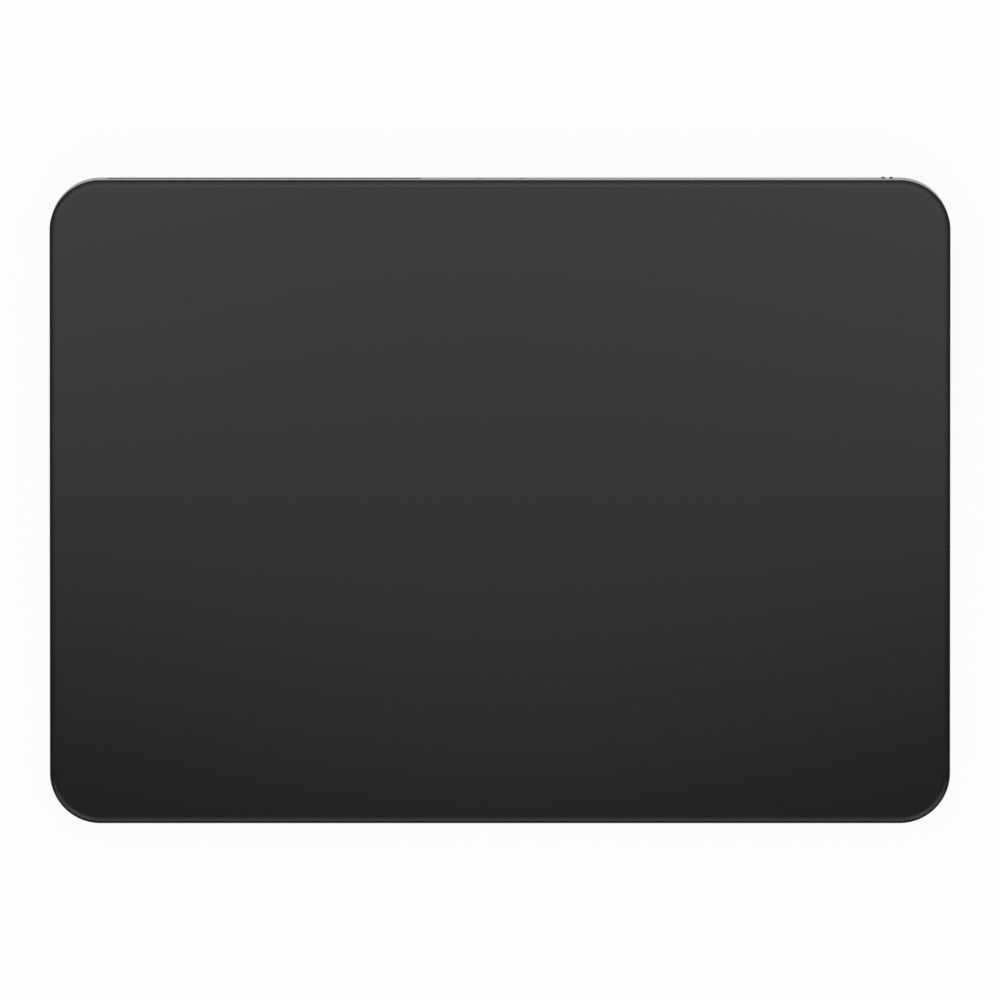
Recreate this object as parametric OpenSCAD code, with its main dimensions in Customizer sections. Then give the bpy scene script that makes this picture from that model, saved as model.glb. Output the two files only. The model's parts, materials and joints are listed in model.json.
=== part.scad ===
// Desktop trackpad: a wedge-shaped aluminium body that carries a flat, pressure-sensing glass surface.
// Lengths are in millimetres. +X is to the right, +Y to the rear, +Z up, and the feet stand on z = 0.
// The base, its cover and the feet are level. All other pieces are drawn in the glass's own tilted
// frame, where z = 0 is the top of the glass, y runs along its slope and the origin is its centre.

/* [Overall] */
// Width across the glass
pad_w = 160; // [150:1:190]
// Depth of the glass, along its slope
pad_d = 114.5; // [108:0.5:135]
// Height of the glass at its front edge
front_h = 4.9; // [4.8:0.1:5.6]
// Height of the glass at its rear edge
rear_h = 10.9; // [10.4:0.1:12.5]
// Corner radius of the glass and the body
corner_r = 9; // [7.5:0.5:12]

/* [Touch stack] */
// Thickness of the cover glass
glass_t = 0.9; // [0.7:0.1:1.1]
// Radius along the top edge of the glass
glass_edge_r = 0.6; // [0.2:0.1:0.6]
// Thickness of thin bonds, adhesives and seals
bond_t = 0.1; // [0.06:0.02:0.14]
// Thickness of the touch sensor board
sensor_t = 0.6; // [0.4:0.1:0.8]
// Thickness of the steel stiffener plate
stiffener_t = 0.4; // [0.3:0.1:0.5]
// Shadow gap between the glass and the body's rim
rim_gap = 0.35; // [0.32:0.02:0.5]
// Side gap between the plates under the glass and the body's walls
plate_gap = 0.7; // [0.4:0.1:1.2]

/* [Body] */
// Thickness of the outer walls
wall_t = 1.6; // [1.4:0.1:2]
// Thickness of the deck under the touch stack
deck_t = 0.7; // [0.6:0.05:0.8]
// Radius along the bottom edge of the body
base_edge_r = 1.6; // [1:0.1:1.8]
// How far that radius is set outside the walls
base_edge_out = 0.2; // [0.1:0.05:0.3]
// Thickness of the ledge that the bottom cover is bonded to
ledge_t = 0.75; // [0.6:0.05:0.9]
// Width of that ledge
ledge_w = 2.5; // [2:0.1:3]
// Width of the rim around the bottom cover
base_rim_w = 3; // [2.8:0.1:3.6]

/* [Bottom cover and feet] */
// Thickness of the bottom cover
cover_t = 0.6; // [0.5:0.05:0.65]
// Depth of the cover's face inside the rim
cover_recess = 0.05; // [0:0.01:0.06]
// Gap around the cover
cover_gap = 0.12; // [0.08:0.01:0.2]
// Height of the feet below the body
foot_h = 0.5; // [0.4:0.05:0.6]
// Diameter of a foot
foot_d = 11; // [8:0.5:14]
// Depth of the seat that a foot is bonded in
foot_seat = 0.15; // [0.1:0.05:0.2]
// Distance of a foot's centre from the cover's edges
foot_inset = 11; // [9:0.5:16]

/* [Flexure brackets] */
// Thickness of the spring-steel brackets
bracket_t = 0.3; // [0.25:0.05:0.35]
// Height of the pads that the brackets are screwed to
bracket_rise = 0.25; // [0.24:0.02:0.3]
// Width of a bracket's root and tip
bracket_w = 8; // [7:0.5:10]
// Length of the screwed root
bracket_root_l = 9; // [7:0.5:11]
// Length of the bending beam
bracket_beam_l = 14; // [10:0.5:18]
// Width of the bending beam
bracket_beam_w = 5; // [3:0.5:6]
// Length of the tip under the gel pad
bracket_tip_l = 8; // [7:0.5:10]
// Distance of the brackets from the side walls
bracket_side_gap = 3.4; // [2.5:0.1:6]
// Distance of the brackets' centre lines from the front and rear walls
bracket_end_gap = 11.6; // [9:0.1:14]
// Thickness of a gel pad
gel_t = 0.45; // [0.4:0.05:0.5]
// Side of a gel pad
gel_w = 7; // [5:0.5:7]
// Length of a strain gauge
gauge_l = 5; // [3:0.5:6]

/* [Haptic actuator] */
// Depth of a core, from front to rear
core_d = 26; // [22:0.5:28]
// Width of a core's back bar
core_back_w = 2.5; // [2.4:0.1:3.5]
// Length of a core's legs
core_leg_l = 5.5; // [4:0.5:7]
// Width of a core's middle leg
core_mid_w = 7; // [5:0.5:7]
// Width of a core's outer legs
core_side_w = 4; // [3:0.5:4]
// Air gap on each side of the armature
air_gap = 0.4; // [0.3:0.05:0.6]
// Thickness of the armature
armature_w = 3; // [2:0.25:4]
// Winding thickness of a coil beside its leg
coil_build = 2; // [1.5:0.1:2.2]
// Winding thickness of a coil above and below its leg
coil_over = 0.5; // [0.4:0.05:0.5]

/* [Battery] */
// Depth of a battery cell
cell_d = 27.5; // [24:0.5:29]
// Corner radius of a battery cell
cell_r = 2; // [1:0.5:3]
// Gap between the cells
cell_gap = 1.5; // [1:0.25:3]
// Width of the protection board
guard_w = 4; // [3:0.5:4.5]

/* [Logic board] */
// Width of the logic board
board_w = 56; // [54:0.5:60]
// Depth of the logic board
board_d = 32.5; // [32:0.5:34]
// Thickness of the circuit boards under the deck
board_t = 0.8; // [0.6:0.1:0.9]
// Height of the bosses under the deck
boss_h = 0.3; // [0.2:0.05:0.4]
// Diameter of a boss
boss_d = 3.4; // [3:0.1:3.8]
// Thickness of the flex cables
flex_t = 0.12; // [0.08:0.02:0.16]
// Height of the connectors
connector_h = 0.9; // [0.6:0.1:1.1]
// Height of the shield can
can_h = 1.4; // [1.2:0.1:1.6]
// Wall of the shield can
can_wall = 0.2; // [0.15:0.05:0.25]

/* [Charging port] */
// Width of the socket's opening
port_w = 8.34; // [8.3:0.02:8.5]
// Height of the socket's opening
port_h = 2.56; // [2.5:0.02:2.7]
// Wall of the socket's shell
port_wall = 0.3; // [0.25:0.05:0.4]
// Length of the socket's shell
port_l = 7.35; // [6.8:0.05:8]
// Depth of the socket's mouth inside the rear wall
port_inset = 0.4; // [0.2:0.05:0.7]
// Width of the tongue
tongue_w = 6.7; // [6.6:0.05:6.8]
// Thickness of the tongue
tongue_t = 0.7; // [0.6:0.05:0.8]
// Distance between the contacts
contact_pitch = 0.5; // [0.45:0.01:0.52]

/* [Power switch] */
// Distance of the slot's middle from the body's right side
switch_inset = 12.3; // [11.5:0.1:14]
// Length of the slot
slot_w = 5.2; // [5:0.1:5.6]
// Height of the slot
slot_h = 1.8; // [1.6:0.1:2.2]
// Width of the sliding nub
nub_w = 2.8; // [2.4:0.1:3]
// How far the nub stands out of the rear wall
nub_proud = 0.15; // [0.05:0.05:0.2]
// Height of the two grip ribs on the nub
rib_h = 0.1; // [0.1:0.05:0.3]
// Distance between the grip ribs
rib_pitch = 1.4; // [1.2:0.05:1.6]

/* [Antenna] */
// Length of the window in the rear wall
window_l = 55.8; // [50:0.1:56]
// Height of the window
window_h = 4.3; // [3.5:0.1:4.6]
// Distance of the window from the body's left side
window_inset = 10.2; // [9.5:0.1:14]
// Depth of the window's middle below the top of the glass
window_drop = 6; // [5.6:0.1:6.4]
// Thickness of the window's face, let into the rear wall
window_t = 0.9; // [0.6:0.1:1]
// Diameter of the antenna cable
coax_d = 0.8; // [0.6:0.1:0.9]

/* [Fasteners] */
// Diameter of the screws
screw_d = 1.1; // [0.9:0.1:1.2]
// Diameter of the screw heads
head_d = 2.2; // [1.8:0.1:2.4]
// Height of the screw heads
head_h = 0.35; // [0.25:0.05:0.4]

/* [Hidden] */
$fn = 64;

// Clearances and small allowances
screw_gap = 0.05;
slide_gap = 0.1;
side_gap = 0.3;
cut_over = 1;

// The slope of the glass and where its centre lies
tilt = asin((rear_h - front_h) / pad_d);
mid_h = (front_h + rear_h) / 2;
base_edge_h = base_edge_r - sqrt(pow(base_edge_r, 2) - pow(base_edge_r - base_edge_out, 2));
rear_lean = (rear_h - foot_h - base_edge_h) * tan(tilt);
glass_y = -rear_lean / 2;

// Levels in the tilted frame
glass_under = -glass_t;
sensor_top = glass_under - bond_t;
sensor_under = sensor_top - sensor_t;
stiffener_under = sensor_under - stiffener_t;
rim_top = glass_under - rim_gap;
bracket_top = stiffener_under - gel_t;
bracket_under = bracket_top - bracket_t;
deck_top = bracket_under - bracket_rise;
deck_under = deck_top - deck_t;
hang = deck_under - boss_h;
board_under = hang - board_t;

// Outlines in the tilted frame
inner_w = pad_w - 2 * wall_t;
inner_d = pad_d - 2 * wall_t;
inner_r = corner_r - wall_t;
plate_w = inner_w - 2 * plate_gap;
plate_d = inner_d - 2 * plate_gap;
plate_r = inner_r - plate_gap;
side_in = inner_w / 2;
rear_in = inner_d / 2;
rear_out = pad_d / 2;

// Levels and outlines of the level base
base_front = glass_y - pad_d / 2 * cos(tilt) + (front_h - foot_h) * tan(tilt);
base_rear = glass_y + pad_d / 2 * cos(tilt) + (rear_h - foot_h) * tan(tilt);
// kept to even hundredths, so that sides and corners of the level outlines meet exactly
base_d = round((base_rear - base_front) * 50) / 50;
base_y = (base_front + base_rear) / 2;
cover_under = foot_h + cover_recess;
cover_top = cover_under + cover_t;
rebate_top = cover_top + bond_t;
ledge_top = rebate_top + ledge_t;
cover_w = pad_w - 2 * base_rim_w - 2 * cover_gap;
cover_d = base_d - 2 * base_rim_w - 2 * cover_gap;
cover_r = corner_r - base_rim_w - cover_gap;
opening_w = cover_w - 2 * ledge_w;
opening_d = cover_d - 2 * ledge_w;
opening_r = cover_r - ledge_w;
foot_x = cover_w / 2 - foot_inset;
foot_y = cover_d / 2 - foot_inset;
tall = 3 * rear_h;

// Flexure brackets, at the right rear corner
bracket_x = side_in - bracket_side_gap;
beam_x = bracket_x - bracket_root_l;
tip_x = beam_x - bracket_beam_l;
bracket_y = rear_in - bracket_end_gap;
bracket_screw_x = bracket_x - bracket_root_l / 2;
bracket_screw_inset = 1.5;
bracket_screw_dy = bracket_w / 2 - bracket_screw_inset;
gauge_w = 3;

// Logic board, placed from the right and rear walls
board_side_gap = 5.4;
board_rear_gap = 9.1;
board_right = side_in - board_side_gap;
board_left = board_right - board_w;
board_rear = rear_in - board_rear_gap;
board_front = board_rear - board_d;
board_screw_inset = 3.2;

// Parts on the logic board, with their middles measured from its front left corner
radio_x = 15;
radio_y = 16.5;
radio_w = 6;
can_w = 13;
controller_x = 29;
controller_y = 16;
controller_w = 9;
controller_h = 0.9;
crystal_y = 24.5;
crystal_w = 2.5;
crystal_d = 2;
crystal_h = 0.7;
driver_x = 40;
driver_front_y = 11.5;
driver_rear_y = 20;
driver_w = 5;
driver_h = 0.8;
inductor_x = 48;
inductor_front_y = 13;
inductor_rear_y = 18.5;
inductor_w = 3;
inductor_h = 1.2;
capacitor_x = 36;
capacitor_y = 25;
capacitor_w = 0.6;
capacitor_d = 1.1;
capacitor_h = 0.5;
capacitor_step = 1.5;
capacitor_count = 6;

// Flex cables and the connectors where they land on the logic board
connector_d = 2.5;
connector_margin = 0.5;
flex_w = 4;
front_overlap = 4;
rear_overlap = 4.5;
left_overlap = 3;
landing_front = board_front + front_overlap;
landing_rear = board_rear - rear_overlap;
landing_left = board_left + left_overlap;
port_landing_x = landing_left + connector_d + connector_margin;

// Battery, between the left wall and the logic board
guard_gap = 1;
coax_lane = 2;
cell_clear = 0.25;
cell_left = -board_right;
guard_right = board_left - guard_gap;
guard_left = guard_right - guard_w;
cell_right = guard_left - guard_gap;
cell_w = (cell_right - cell_left - cell_gap) / 2;
cell_rear = board_rear - coax_lane;
cell_front = cell_rear - cell_d;
cell_y = cell_rear - cell_d / 2;
guard_front = cell_front + cell_r;
guard_rear = cell_rear - cell_r;
cell_t = depth_under_deck(cell_front) - boss_h - cell_clear;
battery_flex_w = 6;

// Haptic actuator, in front of the battery
battery_gap = 4;
coil_leg_gap = 0.1;
coil_end_gap = 0.3;
coil_clear = 0.25;
core_screw_inset = 2;
armature_clear = 0.4;
core_in = armature_w / 2 + air_gap;
core_back_in = core_in + core_leg_l;
core_out = core_back_in + core_back_w;
haptic_y = cell_front - battery_gap - core_d / 2;
coil_half = core_mid_w / 2 + coil_leg_gap + coil_build;
core_t = depth_under_deck(haptic_y - coil_half) - coil_leg_gap - coil_over - coil_clear;
core_under = deck_under - core_t;
core_screw_x = core_back_in + core_back_w / 2;
core_screw_dy = core_d / 2 - core_screw_inset;
armature_under = core_under + armature_clear;

// Haptic flex: a narrow strip across the cores that steps up to the logic board
haptic_strip = flex_w / 2;
haptic_tab = 0.5;
haptic_flex_y = haptic_y + coil_half;
haptic_flex_x = core_out + flex_w;
haptic_landing_x = board_left + board_screw_inset + head_d;

// Sensor flex and its slot, in front of the logic board
sensor_flex_w = 12;
gauge_flex_w = 2.5;
deck_slot_d = 3;
deck_slot_gap = 0.5;
sensor_lead = 6.5;
gauge_lead = 6;
gauge_inset = 0.5;
sensor_x = (board_left + board_right) / 2;
deck_slot_rear = board_front - deck_slot_gap;
deck_slot_front = deck_slot_rear - deck_slot_d;
sensor_drop_y = deck_slot_rear - deck_slot_d / 2;
connector_y = sensor_drop_y - sensor_lead;
gauge_landing_x = sensor_x + sensor_flex_w;
gauge_drop_y = deck_slot_rear - slide_gap;
gauge_cross_y = board_front + gauge_lead;
gauge_side_x = beam_x - gauge_flex_w / 2 - gauge_inset;

// Charging port, in the middle of the rear wall
shell_w = port_w + 2 * port_wall;
shell_h = port_h + 2 * port_wall;
port_z = board_under - shell_h / 2;
port_front = rear_out - port_inset;
port_back = port_front - port_l;
port_gap = 0.1;
port_board_w = 18;
port_board_gap = 0.4;
port_board_front = board_rear + port_board_gap;
port_screw_x = 7;
port_screw_y = port_board_front + head_d;
insulator_l = 1.8;
insulator_gap = 0.04;
tongue_end_gap = 1;
contact_w = 0.25;
contact_l = 3.2;
contact_t = 0.04;
contact_end_gap = 0.4;
contacts_per_row = 12;

// Power switch, at the right end of the rear wall
switch_x = pad_w / 2 - switch_inset;
switch_z = port_z;
travel = slot_w - nub_w - 2 * slide_gap;
nub_x = switch_x + travel / 2;
nub_h = slot_h - 3 * slide_gap;
flange_gap = 0.45;
flange_front = rear_in - flange_gap;
flange_t = 0.5;
flange_w = nub_w + 2 * travel + 4 * slide_gap;
flange_h = 2.8;
housing_d = 3.2;
housing_w = 10;
housing_front = flange_front - flange_t - slide_gap;
housing_back = housing_front - housing_d;
switch_plate_t = 0.4;
housing_top = hang - switch_plate_t;
housing_h = 2 * (housing_top - switch_z);
stem_w = 1.2;
stem_h = 1;
stem_l = 1.4;
stem_gap = 0.2;
rib_w = 0.5;
rib_l = 0.85 * nub_h;
switch_arm_d = boss_d;
switch_screw_y = housing_back - switch_arm_d / 2;
switch_screws_dx = [-8.2, 6.9];
switch_flex_x = switch_x - housing_w / 4;

// Antenna, at the left end of the rear wall
window_left = -pad_w / 2 + window_inset;
window_x = window_left + window_l / 2;
window_z = -window_drop;
window_r = 1;
window_fit = 0.05;
window_step = 0.7;
window_boss_l = window_l - 2 * window_step;
window_boss_h = window_h - 2 * window_step;
window_floor = rear_out - window_t;
element_t = 0.15;
element_margin = 1;
coax_inset = 4;
coax_drop = 0.05;
coax_bend_r = 1.5;
coax_x = window_left + window_l - coax_inset;
coax_y = board_rear - coax_lane / 2;
coax_z = hang - coax_drop - coax_d / 2;

// Distance from the deck's underside straight down to the bottom cover, at y in the tilted frame
function depth_under_deck(y) = (mid_h + y * sin(tilt) - cover_top) / cos(tilt) + deck_under;

// Puts its children into the tilted frame of the glass
module tilted() {
    translate([0, glass_y, mid_h]) rotate([tilt, 0, 0]) children();
}

// A box between two opposite corners
module span(from, to) {
    translate(from) cube(to - from);
}

module rounded_outline(w, d, r) {
    square([w - 2 * r, d], center = true);
    square([w, d - 2 * r], center = true);
    for (x = [-1, 1], y = [-1, 1]) translate([x * (w / 2 - r), y * (d / 2 - r)]) circle(r);
}

// A plate with rounded corners, centred, standing on z = 0
module rounded_block(w, d, r, h) {
    linear_extrude(h) rounded_outline(w, d, r);
}

// The same outline standing upright: its thickness runs towards the rear, from y
module rounded_upright(w, h, r, y, t) {
    translate([0, y + t, 0]) rotate([90, 0, 0]) linear_extrude(t) rounded_outline(w, h, r);
}

// An upright plate with fully rounded ends
module pill_upright(w, h, y, t) {
    translate([0, y + t, 0]) rotate([90, 0, 0]) linear_extrude(t) {
        square([w - h, h], center = true);
        for (x = [h - w, w - h]) translate([x / 2, 0]) circle(d = h);
    }
}

// A slab of thickness t whose edge follows the half profile drawn by its children
module edged_slab(w, d, r, t) {
    for (turn = [0:3]) {
        across = turn % 2 == 0 ? w : d;
        along = turn % 2 == 0 ? d : w;
        rotate(turn * 90) translate([across / 2 - r, 0, 0]) {
            rotate([90, 0, 0]) linear_extrude(along - 2 * r, center = true) children();
            translate([0, along / 2 - r, 0]) rotate_extrude(angle = 90) children();
        }
    }
    translate([0, 0, t / 2]) cube([w - 2 * r, d - 2 * r, t], center = true);
}

// Half profile with its rounded edge at the top
module top_edge_profile(reach, t, edge_r) {
    square([reach - edge_r, t]);
    square([reach, t - edge_r]);
    translate([reach - edge_r, t - edge_r]) intersection() {
        circle(edge_r);
        square(edge_r);
    }
}

// Half profile with its rounded edge at the bottom
module bottom_edge_profile(reach, t, edge_r) {
    translate([0, t]) mirror([0, 1]) top_edge_profile(reach, t, edge_r);
}

// Repeats its children at the four corners of the touch surface
module at_corners() {
    for (x = [0, 1], y = [0, 1]) mirror([x, 0, 0]) mirror([0, y, 0]) children();
}

// A screw seated at z = 0 with its head below and its shank upwards
module screw(length) {
    translate([0, 0, -head_h]) cylinder(d = head_d, h = head_h);
    cylinder(d = screw_d, h = length);
}

module screw_hole(length) {
    translate([0, 0, -cut_over]) cylinder(d = screw_d + 2 * screw_gap, h = length + cut_over);
}

module at_board_screws() {
    for (x = [board_left + board_screw_inset, board_right - board_screw_inset],
         y = [board_front + board_screw_inset, board_rear - board_screw_inset])
        translate([x, y, 0]) children();
}

module at_port_screws() {
    for (x = [-port_screw_x, port_screw_x]) translate([x, port_screw_y, 0]) children();
}

module at_switch_screws() {
    for (dx = switch_screws_dx) translate([switch_x + dx, switch_screw_y, 0]) children();
}

module at_bracket_screws() {
    at_corners() for (dy = [-bracket_screw_dy, bracket_screw_dy])
        translate([bracket_screw_x, bracket_y + dy, 0]) children();
}

module at_core_screws() {
    for (x = [-core_screw_x, core_screw_x], dy = [-core_screw_dy, core_screw_dy])
        translate([x, haptic_y + dy, 0]) children();
}

// Touch surface

module cover_glass() {
    color("#1c1c1e") tilted() translate([0, 0, glass_under])
        edged_slab(pad_w, pad_d, corner_r, glass_t) top_edge_profile(corner_r, glass_t, glass_edge_r);
}

module glass_bond() {
    color("#d8d4c4") tilted() translate([0, 0, sensor_top])
        rounded_block(plate_w, plate_d, plate_r, bond_t);
}

module touch_sensor_board() {
    color("#1f5a3a") tilted() translate([0, 0, sensor_under])
        rounded_block(plate_w, plate_d, plate_r, sensor_t);
}

module sensor_connector() {
    color("#222222") tilted() translate([sensor_x, connector_y, sensor_under - connector_h / 2])
        cube([sensor_flex_w, 2 * connector_d, connector_h], center = true);
}

module stiffener_plate() {
    color("#a8aaad") tilted() difference() {
        translate([0, 0, stiffener_under]) rounded_block(plate_w, plate_d, plate_r, stiffener_t);
        // opening for the sensor connector
        translate([sensor_x, connector_y, sensor_under])
            cube([sensor_flex_w + 2, 2 * connector_d + 2, 3 * stiffener_t], center = true);
        // room above the bracket screws
        at_bracket_screws() translate([0, 0, stiffener_under - cut_over])
            cylinder(d = head_d + 1, h = stiffener_t + 2 * cut_over);
    }
}

module haptic_armature() {
    color("#8e9094") tilted() span(
        [-armature_w / 2, haptic_y - core_d / 2, armature_under],
        [armature_w / 2, haptic_y + core_d / 2, stiffener_under]);
}

// What carries the touch surface

module gel_pads() {
    color("#c9b8a0") tilted() at_corners()
        translate([tip_x - bracket_tip_l / 2, bracket_y, bracket_top + gel_t / 2])
            cube([gel_w, gel_w, gel_t], center = true);
}

module flexure_brackets() {
    color("#b4b6b8") tilted() difference() {
        at_corners() translate([0, bracket_y, bracket_under]) {
            span([beam_x, -bracket_w / 2, 0], [bracket_x, bracket_w / 2, bracket_t]);
            span([tip_x, -bracket_beam_w / 2, 0], [beam_x, bracket_beam_w / 2, bracket_t]);
            span([tip_x - bracket_tip_l, -bracket_w / 2, 0], [tip_x, bracket_w / 2, bracket_t]);
        }
        at_bracket_screws() translate([0, 0, bracket_under - cut_over]) screw_hole(bracket_t + 2 * cut_over);
    }
}

module strain_gauges() {
    color("#c47a2c") tilted() at_corners()
        translate([beam_x - gauge_l / 2, bracket_y, bracket_under - bond_t / 2])
            cube([gauge_l, gauge_w, bond_t], center = true);
}

module gauge_flex() {
    reach = bracket_y + gauge_w / 2;
    tail_w = flex_w - 2 * connector_margin;
    top = deck_top + flex_t;
    color("#b8762e") tilted() {
        for (x = [-gauge_side_x, gauge_side_x])
            span([x - gauge_flex_w / 2, -reach, deck_top], [x + gauge_flex_w / 2, reach, top]);
        span([-gauge_side_x, gauge_cross_y, deck_top], [gauge_side_x, gauge_cross_y + gauge_flex_w, top]);
        // tail through the deck to the logic board
        translate([gauge_landing_x, 0, 0]) {
            span([-tail_w / 2, gauge_drop_y, deck_top], [tail_w / 2, gauge_cross_y + gauge_flex_w, top]);
            span([-tail_w / 2, gauge_drop_y - flex_t, board_under - flex_t], [tail_w / 2, gauge_drop_y, top]);
            span([-tail_w / 2, gauge_drop_y - flex_t, board_under - flex_t],
                [tail_w / 2, landing_front, board_under]);
        }
    }
}

module bracket_screws() {
    color("#77787a") tilted() at_bracket_screws() translate([0, 0, bracket_top]) mirror([0, 0, 1])
        screw(bracket_t + bracket_rise + deck_t - slide_gap);
}

// Body

// The body as a solid wedge: the glass outline carried down to a level base with a rounded edge
module body_envelope() {
    deep = tall / 2;
    base_w = pad_w + 2 * base_edge_out;
    slab_d = base_d + 2 * base_edge_out;
    slab_r_more = 0.1;
    // its corners start a little before those of the walls, so that no two seams cross at one point
    slab_r = corner_r + base_edge_out + slab_r_more;
    intersection() {
        tilted() translate([0, 0, rim_top - deep]) rounded_block(pad_w, pad_d, corner_r, deep);
        translate([0, base_y, foot_h])
            edged_slab(base_w, slab_d, slab_r, tall) bottom_edge_profile(slab_r, tall, base_edge_r);
    }
}

// The hollow under the deck, down through the opening inside the ledge
module hollow_under_deck() {
    intersection() {
        tilted() span([-pad_w, -pad_d, deck_under - tall], [pad_w, pad_d, deck_under]);
        union() {
            intersection() {
                tilted() translate([0, 0, -tall]) rounded_block(inner_w, inner_d, inner_r, tall);
                span([-pad_w, -pad_d, ledge_top], [pad_w, pad_d, tall]);
            }
            translate([0, base_y, 0]) rounded_block(opening_w, opening_d, opening_r, ledge_top + cut_over);
        }
    }
}

module deck_openings() {
    // window for the coils and the armature
    span([-core_back_in + slide_gap, haptic_y - core_d / 2 - cut_over, deck_under - cut_over],
        [core_back_in - slide_gap, haptic_y + core_d / 2 + cut_over, deck_top + cut_over]);
    // slot for the two flex cables
    span([sensor_x - sensor_flex_w / 2 - cut_over, deck_slot_front, deck_under - cut_over],
        [gauge_landing_x + flex_w, deck_slot_rear, deck_top + cut_over]);
}

module wall_openings() {
    through = wall_t + 2 * cut_over;
    translate([0, 0, port_z])
        pill_upright(shell_w + 2 * port_gap, shell_h + 2 * port_gap, rear_in - cut_over, through);
    translate([switch_x, 0, switch_z]) pill_upright(slot_w, slot_h, rear_in - cut_over, through);
    // recess for the antenna window, and the opening behind it
    translate([window_x, 0, window_z]) {
        rounded_upright(window_l, window_h, window_r, window_floor, window_t + cut_over);
        rounded_upright(window_boss_l, window_boss_h, window_r, rear_in - cut_over, wall_t + cut_over);
    }
}

module enclosure() {
    color("#c3c5c8") difference() {
        union() {
            difference() {
                body_envelope();
                tilted() translate([0, 0, deck_top]) rounded_block(inner_w, inner_d, inner_r, tall);
                hollow_under_deck();
                translate([0, base_y, 0]) rounded_block(cover_w + 2 * cover_gap, cover_d + 2 * cover_gap,
                    cover_r + cover_gap, rebate_top);
                tilted() wall_openings();
            }
            tilted() {
                // pads under the brackets
                at_corners() span([beam_x, bracket_y - bracket_w / 2, deck_top - deck_t / 2],
                    [bracket_x, bracket_y + bracket_w / 2, bracket_under]);
                // bosses under the deck
                translate([0, 0, hang]) {
                    at_board_screws() cylinder(d = boss_d, h = boss_h + deck_t / 2);
                    at_port_screws() cylinder(d = boss_d, h = boss_h + deck_t / 2);
                    at_switch_screws() cylinder(d = boss_d, h = boss_h + deck_t / 2);
                }
            }
        }
        tilted() {
            deck_openings();
            translate([0, 0, hang]) {
                at_board_screws() screw_hole(boss_h + deck_t - screw_gap);
                at_port_screws() screw_hole(boss_h + deck_t - screw_gap);
                at_switch_screws() screw_hole(boss_h + deck_t - screw_gap);
            }
            translate([0, 0, deck_under]) at_core_screws() screw_hole(deck_t - screw_gap);
            translate([0, 0, bracket_under]) mirror([0, 0, 1]) at_bracket_screws()
                screw_hole(bracket_rise + deck_t - screw_gap);
        }
    }
}

module dust_seal() {
    color("#141414") tilted() translate([0, 0, rim_top]) difference() {
        rounded_block(pad_w - 2 * side_gap, pad_d - 2 * side_gap, corner_r - side_gap, bond_t);
        translate([0, 0, -cut_over]) rounded_block(inner_w + side_gap, inner_d + side_gap,
            inner_r + side_gap / 2, bond_t + 2 * cut_over);
    }
}

module at_feet() {
    for (x = [-foot_x, foot_x], y = [-foot_y, foot_y]) translate([x, base_y + y, 0]) children();
}

module bottom_cover() {
    color("#b9bbbe") difference() {
        translate([0, base_y, cover_under]) rounded_block(cover_w, cover_d, cover_r, cover_t);
        at_feet() cylinder(d = foot_d + 2 * slide_gap, h = cover_under + foot_seat);
    }
}

module cover_adhesive() {
    color("#2b2b2b") translate([0, base_y, cover_top]) difference() {
        rounded_block(cover_w - side_gap, cover_d - side_gap, cover_r - side_gap / 2, bond_t);
        translate([0, 0, -cut_over]) rounded_block(opening_w + side_gap, opening_d + side_gap,
            opening_r + side_gap / 2, bond_t + 2 * cut_over);
    }
}

module rubber_feet() {
    color("#3a3a3c") at_feet() cylinder(d = foot_d, h = cover_under + foot_seat);
}

// Haptic actuator

module haptic_core() {
    half = core_d / 2;
    mid = core_mid_w / 2;
    translate([0, haptic_y, 0]) {
        span([core_back_in, -half, core_under], [core_out, half, deck_under]);
        span([core_in, -mid, core_under], [core_back_in, mid, deck_under]);
        for (y = [-half, half - core_side_w])
            span([core_in, y, core_under], [core_back_in, y + core_side_w, deck_under]);
    }
}

module haptic_cores() {
    color("#6f7276") tilted() difference() {
        for (x = [0, 1]) mirror([x, 0, 0]) haptic_core();
        translate([0, 0, core_under - cut_over]) at_core_screws() screw_hole(core_t + 2 * cut_over);
    }
}

module haptic_coils() {
    leg = core_mid_w / 2 + coil_leg_gap;
    color("#b5651d") tilted() for (x = [0, 1]) mirror([x, 0, 0]) difference() {
        span([core_in + coil_end_gap, haptic_y - coil_half, core_under - coil_leg_gap - coil_over],
            [core_back_in - coil_end_gap, haptic_y + coil_half, deck_under + coil_leg_gap + coil_over]);
        span([core_in - cut_over, haptic_y - leg, core_under - coil_leg_gap],
            [core_back_in + cut_over, haptic_y + leg, deck_under + coil_leg_gap]);
    }
}

module haptic_screws() {
    color("#77787a") tilted() translate([0, 0, core_under]) at_core_screws()
        screw(core_t + deck_t - slide_gap);
}

module haptic_flex() {
    low = core_under - flex_t;
    front = haptic_flex_y + haptic_tab;
    rear = haptic_flex_y + haptic_strip;
    tab_x = (core_in + core_back_in - haptic_strip) / 2;
    color("#b8762e") tilted() {
        // strip across both cores with a tab to each coil
        span([-core_out, front, low], [haptic_flex_x, rear, core_under]);
        for (x = [-tab_x - haptic_strip, tab_x])
            span([x, haptic_flex_y, low], [x + haptic_strip, rear, core_under]);
        // step up to the level of the logic board
        span([haptic_flex_x - flex_t, front, low], [haptic_flex_x, rear, board_under]);
        span([haptic_flex_x - flex_t, front, board_under - flex_t],
            [haptic_landing_x + flex_w, rear, board_under]);
        span([haptic_landing_x, front, board_under - flex_t],
            [haptic_landing_x + flex_w, landing_front, board_under]);
    }
}

// Battery

module battery_adhesive() {
    color("#e3e0d6") tilted() {
        for (x = [cell_left, cell_right - cell_w])
            span([x + cell_r, guard_front, hang], [x + cell_w - cell_r, guard_rear, deck_under]);
        span([guard_left, guard_front, hang], [guard_right, guard_rear, deck_under]);
    }
}

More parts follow.
